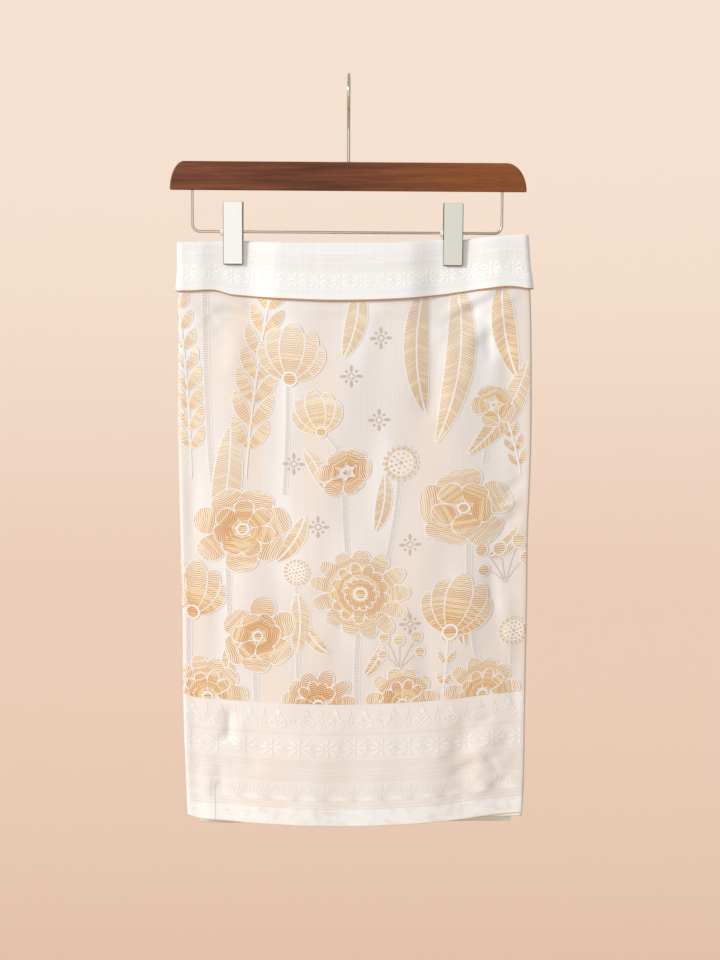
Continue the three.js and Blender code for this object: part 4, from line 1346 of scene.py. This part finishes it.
def beadRun(name, lines, material, spacing, length, thick):
    # a run of stitches along each line of points
    points = np.concatenate(lines)
    edges, start = [], 0
    for line in lines:
        edges += [(start + k, start + k + 1) for k in range(len(line) - 1)]
        start += len(line)
    mesh = bpy.data.meshes.new(name + "Path")
    mesh.from_pydata([tuple(p) for p in points], edges, [])
    guide = bpy.data.objects.new(name + "Path", mesh)
    scene.collection.objects.link(guide)
    tree, sockets = beadTree(name + "Nodes", materials[material])
    maker = guide.modifiers.new("stitches", "NODES")
    maker.node_group = tree
    for label, value in (("Spacing", spacing), ("Length", length), ("Thickness", thick)):
        maker[sockets[label]] = value * mm
    graph = bpy.context.evaluated_depsgraph_get()
    made = bpy.data.meshes.new_from_object(guide.evaluated_get(graph))
    bpy.data.objects.remove(guide)
    piece = bpy.data.objects.new(name, made)
    scene.collection.objects.link(piece)
    made.polygons.foreach_set("use_smooth", [True] * len(made.polygons))
    made.materials.clear()
    return finishPiece(piece, [], "brocade_border", material)


def hemLine(surface, left, right, v, lift):
    x = np.arange(left, right, 3.0)
    return surface(x, np.full(len(x), v), np.full(len(x), lift))


hemRow = cloth["hemHeight"] - 0.9
seam = {"x": -149, "low": 3, "high": 40}    # the short upright row on the front
seamUp = np.arange(seam["low"], seam["high"], 3.0)
frontStitches = beadRun("frontHemStitches", [
    hemLine(onFlap, -180, 192, hemRow, stitchLift),
    onFlap(np.full(len(seamUp), seam["x"]), seamUp, np.full(len(seamUp), stitchLift)),
], "stitch", **stitch)
backStitches = beadRun(
    "backHemStitches", [hemLine(onBack, -170, 190, hemRow, stitchLift)], "stitch", **stitch)


def cuffTop(left, right):
    x = np.arange(left, right, 2.0)
    base = frontCuffOffset(placeOf(x, np.full(len(x), cloth["cuffMiddle"])))
    radius = (base + cloth["wall"]) / 2
    top = along(heights, "x", x, "top")
    return tubePoint(placeOf(x, top), top + 0.1, radius)


picots = beadRun("cuffPicots", [cuffTop(-176, 188)], "white", **picot)


print("hanger")
hanger = {
    "tilt": math.radians(0.4), "barLength": 381, "barTop": -90.3, "barBottom": -121, "barThickness": 14,
    "chamfer": 1.6, "endLeft": 15.5, "endRight": 22,
    "hookWire": 1.85, "bowRadius": 19.85, "tip": 9, "turn": 50, "intoBar": 16,
    "railWire": 1.5, "railZ": -165, "railX": -1, "railHalf": 165.8, "bend": 8, "railIntoBar": 12,
}


def tilted(points):
    points = np.asarray(points, float)
    c, s = math.cos(hanger["tilt"]), math.sin(hanger["tilt"])
    x, y, z = points[..., 0], points[..., 1], points[..., 2]
    return np.stack((x * c + z * s, y, z * c - x * s), -1) * mm


def tubePiece(name, path, radius, sides=16):
    # a round wire along a path in mm, with domed ends
    path = np.asarray(path, float)
    tangents = np.gradient(path, axis=0)
    tangents /= np.linalg.norm(tangents, axis=1, keepdims=True)
    side = np.cross(tangents[0], (0.3, 0.5, 0.81))
    side /= np.linalg.norm(side)
    rings = []
    angles = np.linspace(0, 2 * math.pi, sides, endpoint=False)
    for point, tangent in zip(path, tangents):
        side = side - tangent * np.dot(side, tangent)
        side /= np.linalg.norm(side)
        up = np.cross(tangent, side)
        rings.append((point, tangent, side, up))
    dome = [(math.cos(a), math.sin(a)) for a in (math.radians(d) for d in (75, 50, 25))]
    first, last = rings[0], rings[-1]
    stations = [(first[0] - first[1] * radius * out, first[2], first[3], width) for width, out in dome]
    stations += [(point, side, up, 1.0) for point, tangent, side, up in rings]
    stations += [(last[0] + last[1] * radius * out, last[2], last[3], width) for width, out in reversed(dome)]
    points = [p + (s * np.cos(a) + u * np.sin(a)) * radius * w for p, s, u, w in stations for a in angles]
    count = len(stations)
    faces = []
    for r in range(count - 1):
        for k in range(sides):
            a, b = r * sides + k, r * sides + (k + 1) % sides
            faces.append((a, b, b + sides, a + sides))
    faces += [tuple(reversed(range(sides))), tuple(range((count - 1) * sides, count * sides))]
    return meshPiece(name, tilted(points), faces)


def arc(centre, radius, start, end, steps):
    angles = np.radians(np.linspace(start, end, steps + 1))
    return [(centre[0] + radius * math.cos(a), centre[1] + radius * math.sin(a)) for a in angles]


def hookPath():
    radius, turn = hanger["bowRadius"], hanger["turn"]
    centre = (0, hanger["hookWire"] - radius)
    bow = arc(centre, radius, 0, 180 + turn, 60)
    neckRadius = radius * math.cos(math.radians(turn)) / (1 - math.cos(math.radians(turn)))
    neckCentre = (-neckRadius, bow[-1][1] - neckRadius * math.sin(math.radians(turn)))
    neck = arc(neckCentre, neckRadius, turn, 0, 16)[1:]
    tip = [(radius, centre[1] - hanger["tip"] * part) for part in (0.85, 0.5, 0.2)]
    shank = [(0, z) for z in np.linspace(neck[-1][1] - 3, hanger["barTop"] - hanger["intoBar"] + 1, 6)]
    return [(0, y, z) for y, z in tip + bow + neck + shank]


def railPath():
    left, right = hanger["railX"] - hanger["railHalf"], hanger["railX"] + hanger["railHalf"]
    bend, z = hanger["bend"], hanger["railZ"]
    top = hanger["barBottom"] + hanger["railIntoBar"] - 1
    path = [(left, z1) for z1 in np.linspace(top, z + bend + 2, 5)]
    path += arc((left + bend, z + bend), bend, 180, 270, 14)
    path += [(x, z) for x in np.linspace(left + bend + 4, right - bend - 4, 12)]
    path += arc((right - bend, z + bend), bend, 270, 360, 14)
    path += [(right, z1) for z1 in np.linspace(z + bend + 2, top, 5)]
    return [(x, 0, z1) for x, z1 in path]


def rounded(piece, width, segments):
    rounding = piece.modifiers.new("rounding", "BEVEL")
    rounding.width = width * mm
    rounding.segments = segments
    rounding.limit_method = "ANGLE"
    return rounding


def prism(name, outline, half, bevel):
    # an outline in x and z, given a thickness in y, with its rims rounded
    count = len(outline)
    points = [(x, y, z) for y in (-half, half) for x, z in outline]
    faces = [tuple(range(count)), tuple(reversed(range(count, 2 * count)))]
    faces += [((k + 1) % count, k, count + k, count + (k + 1) % count) for k in range(count)]
    piece = meshPiece(name, tilted(points), faces, smoothFaces=False)
    rounded(piece, bevel, 4).angle_limit = math.radians(40)
    return piece


def barOutline():
    half, low, high = hanger["barLength"] / 2, hanger["barBottom"], hanger["barTop"]
    right = [(half - hanger["endRight"] * (1 - math.cos(a)), low + (high - low) * math.sin(a))
             for a in np.linspace(0, math.pi / 2, 26)]
    left = [(-half + hanger["endLeft"] * (1 - math.cos(a)), low + (high - low) * math.sin(a))
            for a in np.linspace(math.pi / 2, 0, 26)]
    return right + left


def facesOut(piece):
    work = bmesh.new()
    work.from_mesh(piece.data)
    bmesh.ops.recalc_face_normals(work, faces=work.faces)
    work.to_mesh(piece.data)
    work.free()
    return piece


bar = facesOut(prism("hangerBar", barOutline(), hanger["barThickness"] / 2, hanger["chamfer"]))
bar.data.polygons.foreach_set("use_smooth", [True] * len(bar.data.polygons))
finishPiece(bar, ["hanger_bar"], "walnut", "walnut")
for name, path, wire, node in (("hangerHook", hookPath(), "hookWire", "hanger_hook"),
                               ("clipRail", railPath(), "railWire", "clip_rail")):
    finishPiece(facesOut(tubePiece(name, path, hanger[wire])), [node], "bright_wire", "wire")


clipSizes = {
    "width": 21, "top": -133, "bottom": -200, "thickness": 1.2, "splay": 2.2, "corner": 1.2,
    "ear": 1.0, "earTop": -157, "earBottom": -172, "tip": 3.1, "pad": 1.0, "spring": 3.2,
}


def plateY(side, z):
    # the inner face of a plate: the jaw lies on the pad, and the plate leans out a little to its top
    c = clipSizes
    layers = {"front": 2, "back": 1}[side] * (cloth["wall"] + cloth["gap"]) + cloth["wall"]
    jaw = grip["halfDepth"] + layers + c["pad"] + 2 * cloth["gap"]
    return jaw + c["splay"] * (z - c["bottom"]) / (c["top"] - c["bottom"])


def platePiece(clip, side):
    # a straight spring-steel plate with small round corners
    c = clipSizes
    facing = {"front": -1, "back": 1}[side]
    turn = np.linspace(0, math.pi / 2, 6)
    rise, inset = c["corner"] * (1 - np.cos(turn)), c["corner"] * (1 - np.sin(turn))
    middle = np.linspace(c["bottom"] + 4, c["top"] - 4, 14)
    z = np.concatenate((c["bottom"] + rise, middle, c["top"] - rise[::-1]))
    inset = np.concatenate((inset, np.zeros(14), inset[::-1]))
    y = facing * (plateY(side, z) + c["thickness"])
    across = np.concatenate(([-1], np.linspace(-0.95, 0.93, 6), [1]))
    x = clip["x"] + across[None, :] * (c["width"] / 2 - inset[:, None])
    points = np.stack((x, np.broadcast_to(y[:, None], x.shape), np.broadcast_to(z[:, None], x.shape)), -1)
    faces = gridFaces(*x.shape)
    if facing < 0:
        faces = faces[:, ::-1]
    name = f"{clip['name']}Clip{side.capitalize()}Plate"
    piece = meshPiece(name, tilted(points).reshape(-1, 3), faces.tolist())
    if piece.data.polygons[20].normal.y * facing < 0:
        piece.data.flip_normals()
    # the outer columns, the lowest rows and the rims take the painted shade of the plate's edges
    for face in piece.data.polygons:
        row, column = divmod(face.index, len(across) - 1)
        face.material_index = int(column in (0, len(across) - 2) or row < 5)
    thicken(piece, c["thickness"]).material_offset_rim = 1
    rounded(piece, 0.2, 2)
    tone = "nickelBright" if clip["tone"] == "bright" else "nickelDull"
    return finishPiece(piece, [f"{clip['name']}_clip_{side}_plate"], "clip_plate", tone, "cutEdge")


def earsPiece(clip):
    # the four ears by which the two plates are hinged on the rail
    c = clipSizes
    points, faces = [], []
    for side, facing, inward in (("front", -1, 0), ("back", 1, 1)):
        sweep = (-75, 75) if facing < 0 else (-105, -255)
        lobe = arc((-facing * 0.4, hanger["railZ"]), c["tip"], *sweep, 12)
        roots = [(facing * (plateY(side, z) + 0.3), z) for z in (c["earTop"], c["earBottom"])]
        outline = roots + lobe
        for hand in (-1, 1):
            near = c["width"] / 2 - 0.2 - inward * (c["ear"] + cloth["gap"])
            x0, x1 = clip["x"] + hand * near, clip["x"] + hand * (near - c["ear"])
            start, count = len(points), len(outline)
            points += [(x, y, z) for x in (x0, x1) for y, z in outline]
            far = start + count
            faces += [tuple(range(start, far)), tuple(range(far + count - 1, far - 1, -1))]
            for k in range(count):
                after = (k + 1) % count
                faces.append((start + after, start + k, far + k, far + after))
    piece = facesOut(meshPiece(f"{clip['name']}ClipEars", tilted(points), faces, smoothFaces=False))
    return finishPiece(piece, [], "clip_plate", "nickelDull")


def springPiece(clip):
    # the torsion spring wound round the rail
    turns, steps = 9, 16
    t = np.linspace(0, turns * 2 * math.pi, turns * steps)
    width, radius = clipSizes["width"] - 4 * clipSizes["ear"] - 2, clipSizes["spring"]
    x = clip["x"] - width / 2 + width * t / t[-1]
    path = np.stack((x, radius * np.cos(t), hanger["railZ"] + radius * np.sin(t)), -1)
    piece = facesOut(tubePiece(f"{clip['name']}ClipSpring", path, 0.6, 8))
    return finishPiece(piece, [f"{clip['name']}_clip_spring"], "bright_wire", "wire")


for clip in clips:
    platePiece(clip, "front")
    platePiece(clip, "back")
    earsPiece(clip)
    springPiece(clip)
    for suffix in ("front_pad", "back_pad", "collar"):
        node = bpy.data.objects[f"{clip['name']}_clip_{suffix}"]
        node.data.materials.clear()
        node.data.materials.append(materials["pad"])


print("studio")
studio = {"wallY": 3400, "floorY": -2600, "floorZ": -2090, "curve": 950, "halfWidth": 3500, "height": 2600}
light = {
    "sky": "#F4F4F3", "skyStrength": 0.56,
    # low from the upper left, so that creases show
    "window": 2.42, "windowSoftness": 12, "windowAt": (-2.6, -1.5, 0.7),
    "softboxWatts": 6.5, "softboxSize": 1.2, "softboxAt": (-0.6, -2.4, -0.2),    # the clips mirror it
}


def backdropMaterial():
    # matt painted wall: a warm pale tone, a little deeper low down
    material, tree, shader = newMaterial("paintedBackdrop", {"Roughness": 0.9, "Specular IOR Level": 0.2})
    position = addNode(tree, "TexCoord")
    parts = addNode(tree, "SeparateXYZ", {"Vector": (position, "Object")})
    tone = washed(tree, colour("#E2C6B2"), ((parts, "Z"), -2.18, 0.1, 1.0, "#FDEEE0"))
    setInputs(tree, shader, {"Base Color": tone})
    return material


def addStudio():
    s = studio
    cove = arc((s["wallY"] - s["curve"], s["floorZ"] + s["curve"]), s["curve"], -90, 0, 11)
    profile = [(s["floorY"], s["floorZ"]), *cove, (s["wallY"], s["height"])]
    points = [(x * mm, y * mm, z * mm) for x in (-s["halfWidth"], s["halfWidth"]) for y, z in profile]
    count = len(profile)
    faces = [(k, k + count, k + count + 1, k + 1) for k in range(count - 1)]
    sweep = meshPiece("backdrop", points, faces)
    sweep.data.materials.append(backdropMaterial())
    world = bpy.data.worlds.new("studio")
    scene.world = world
    world.use_nodes = True
    world.node_tree.nodes["Background"].inputs[0].default_value = colour(light["sky"])
    world.node_tree.nodes["Background"].inputs[1].default_value = light["skyStrength"]
    softbox = bpy.data.lights.new("softbox", "AREA")
    softbox.energy, softbox.size = light["softboxWatts"], light["softboxSize"]
    window = bpy.data.lights.new("windowLight", "SUN")
    window.energy, window.angle = light["window"], math.radians(light["windowSoftness"])
    for data, place in ((softbox, light["softboxAt"]), (window, light["windowAt"])):
        lamp = bpy.data.objects.new(data.name, data)
        lamp.location = place
        lamp.rotation_euler = (Vector((0, 0, -0.4)) - Vector(place)).to_track_quat("-Z", "Y").to_euler()
        lamp.visible_camera = False
        scene.collection.objects.link(lamp)


def addCamera():
    tilt = math.radians(camera["tilt"])
    data = bpy.data.cameras.new("camera")
    data.lens, data.sensor_width, data.sensor_fit = camera["lens"], 36, "AUTO"
    eye = bpy.data.objects.new("camera", data)
    eye.location = (camera["aimX"] * mm, -camera["distance"] * math.cos(tilt) * mm,
                    (camera["aimZ"] + camera["distance"] * math.sin(tilt)) * mm)
    eye.rotation_euler = (math.pi / 2 - tilt, 0, 0)
    scene.collection.objects.link(eye)
    scene.camera = eye


addStudio()
addCamera()
scene.view_settings.view_transform = "Standard"

print("done")
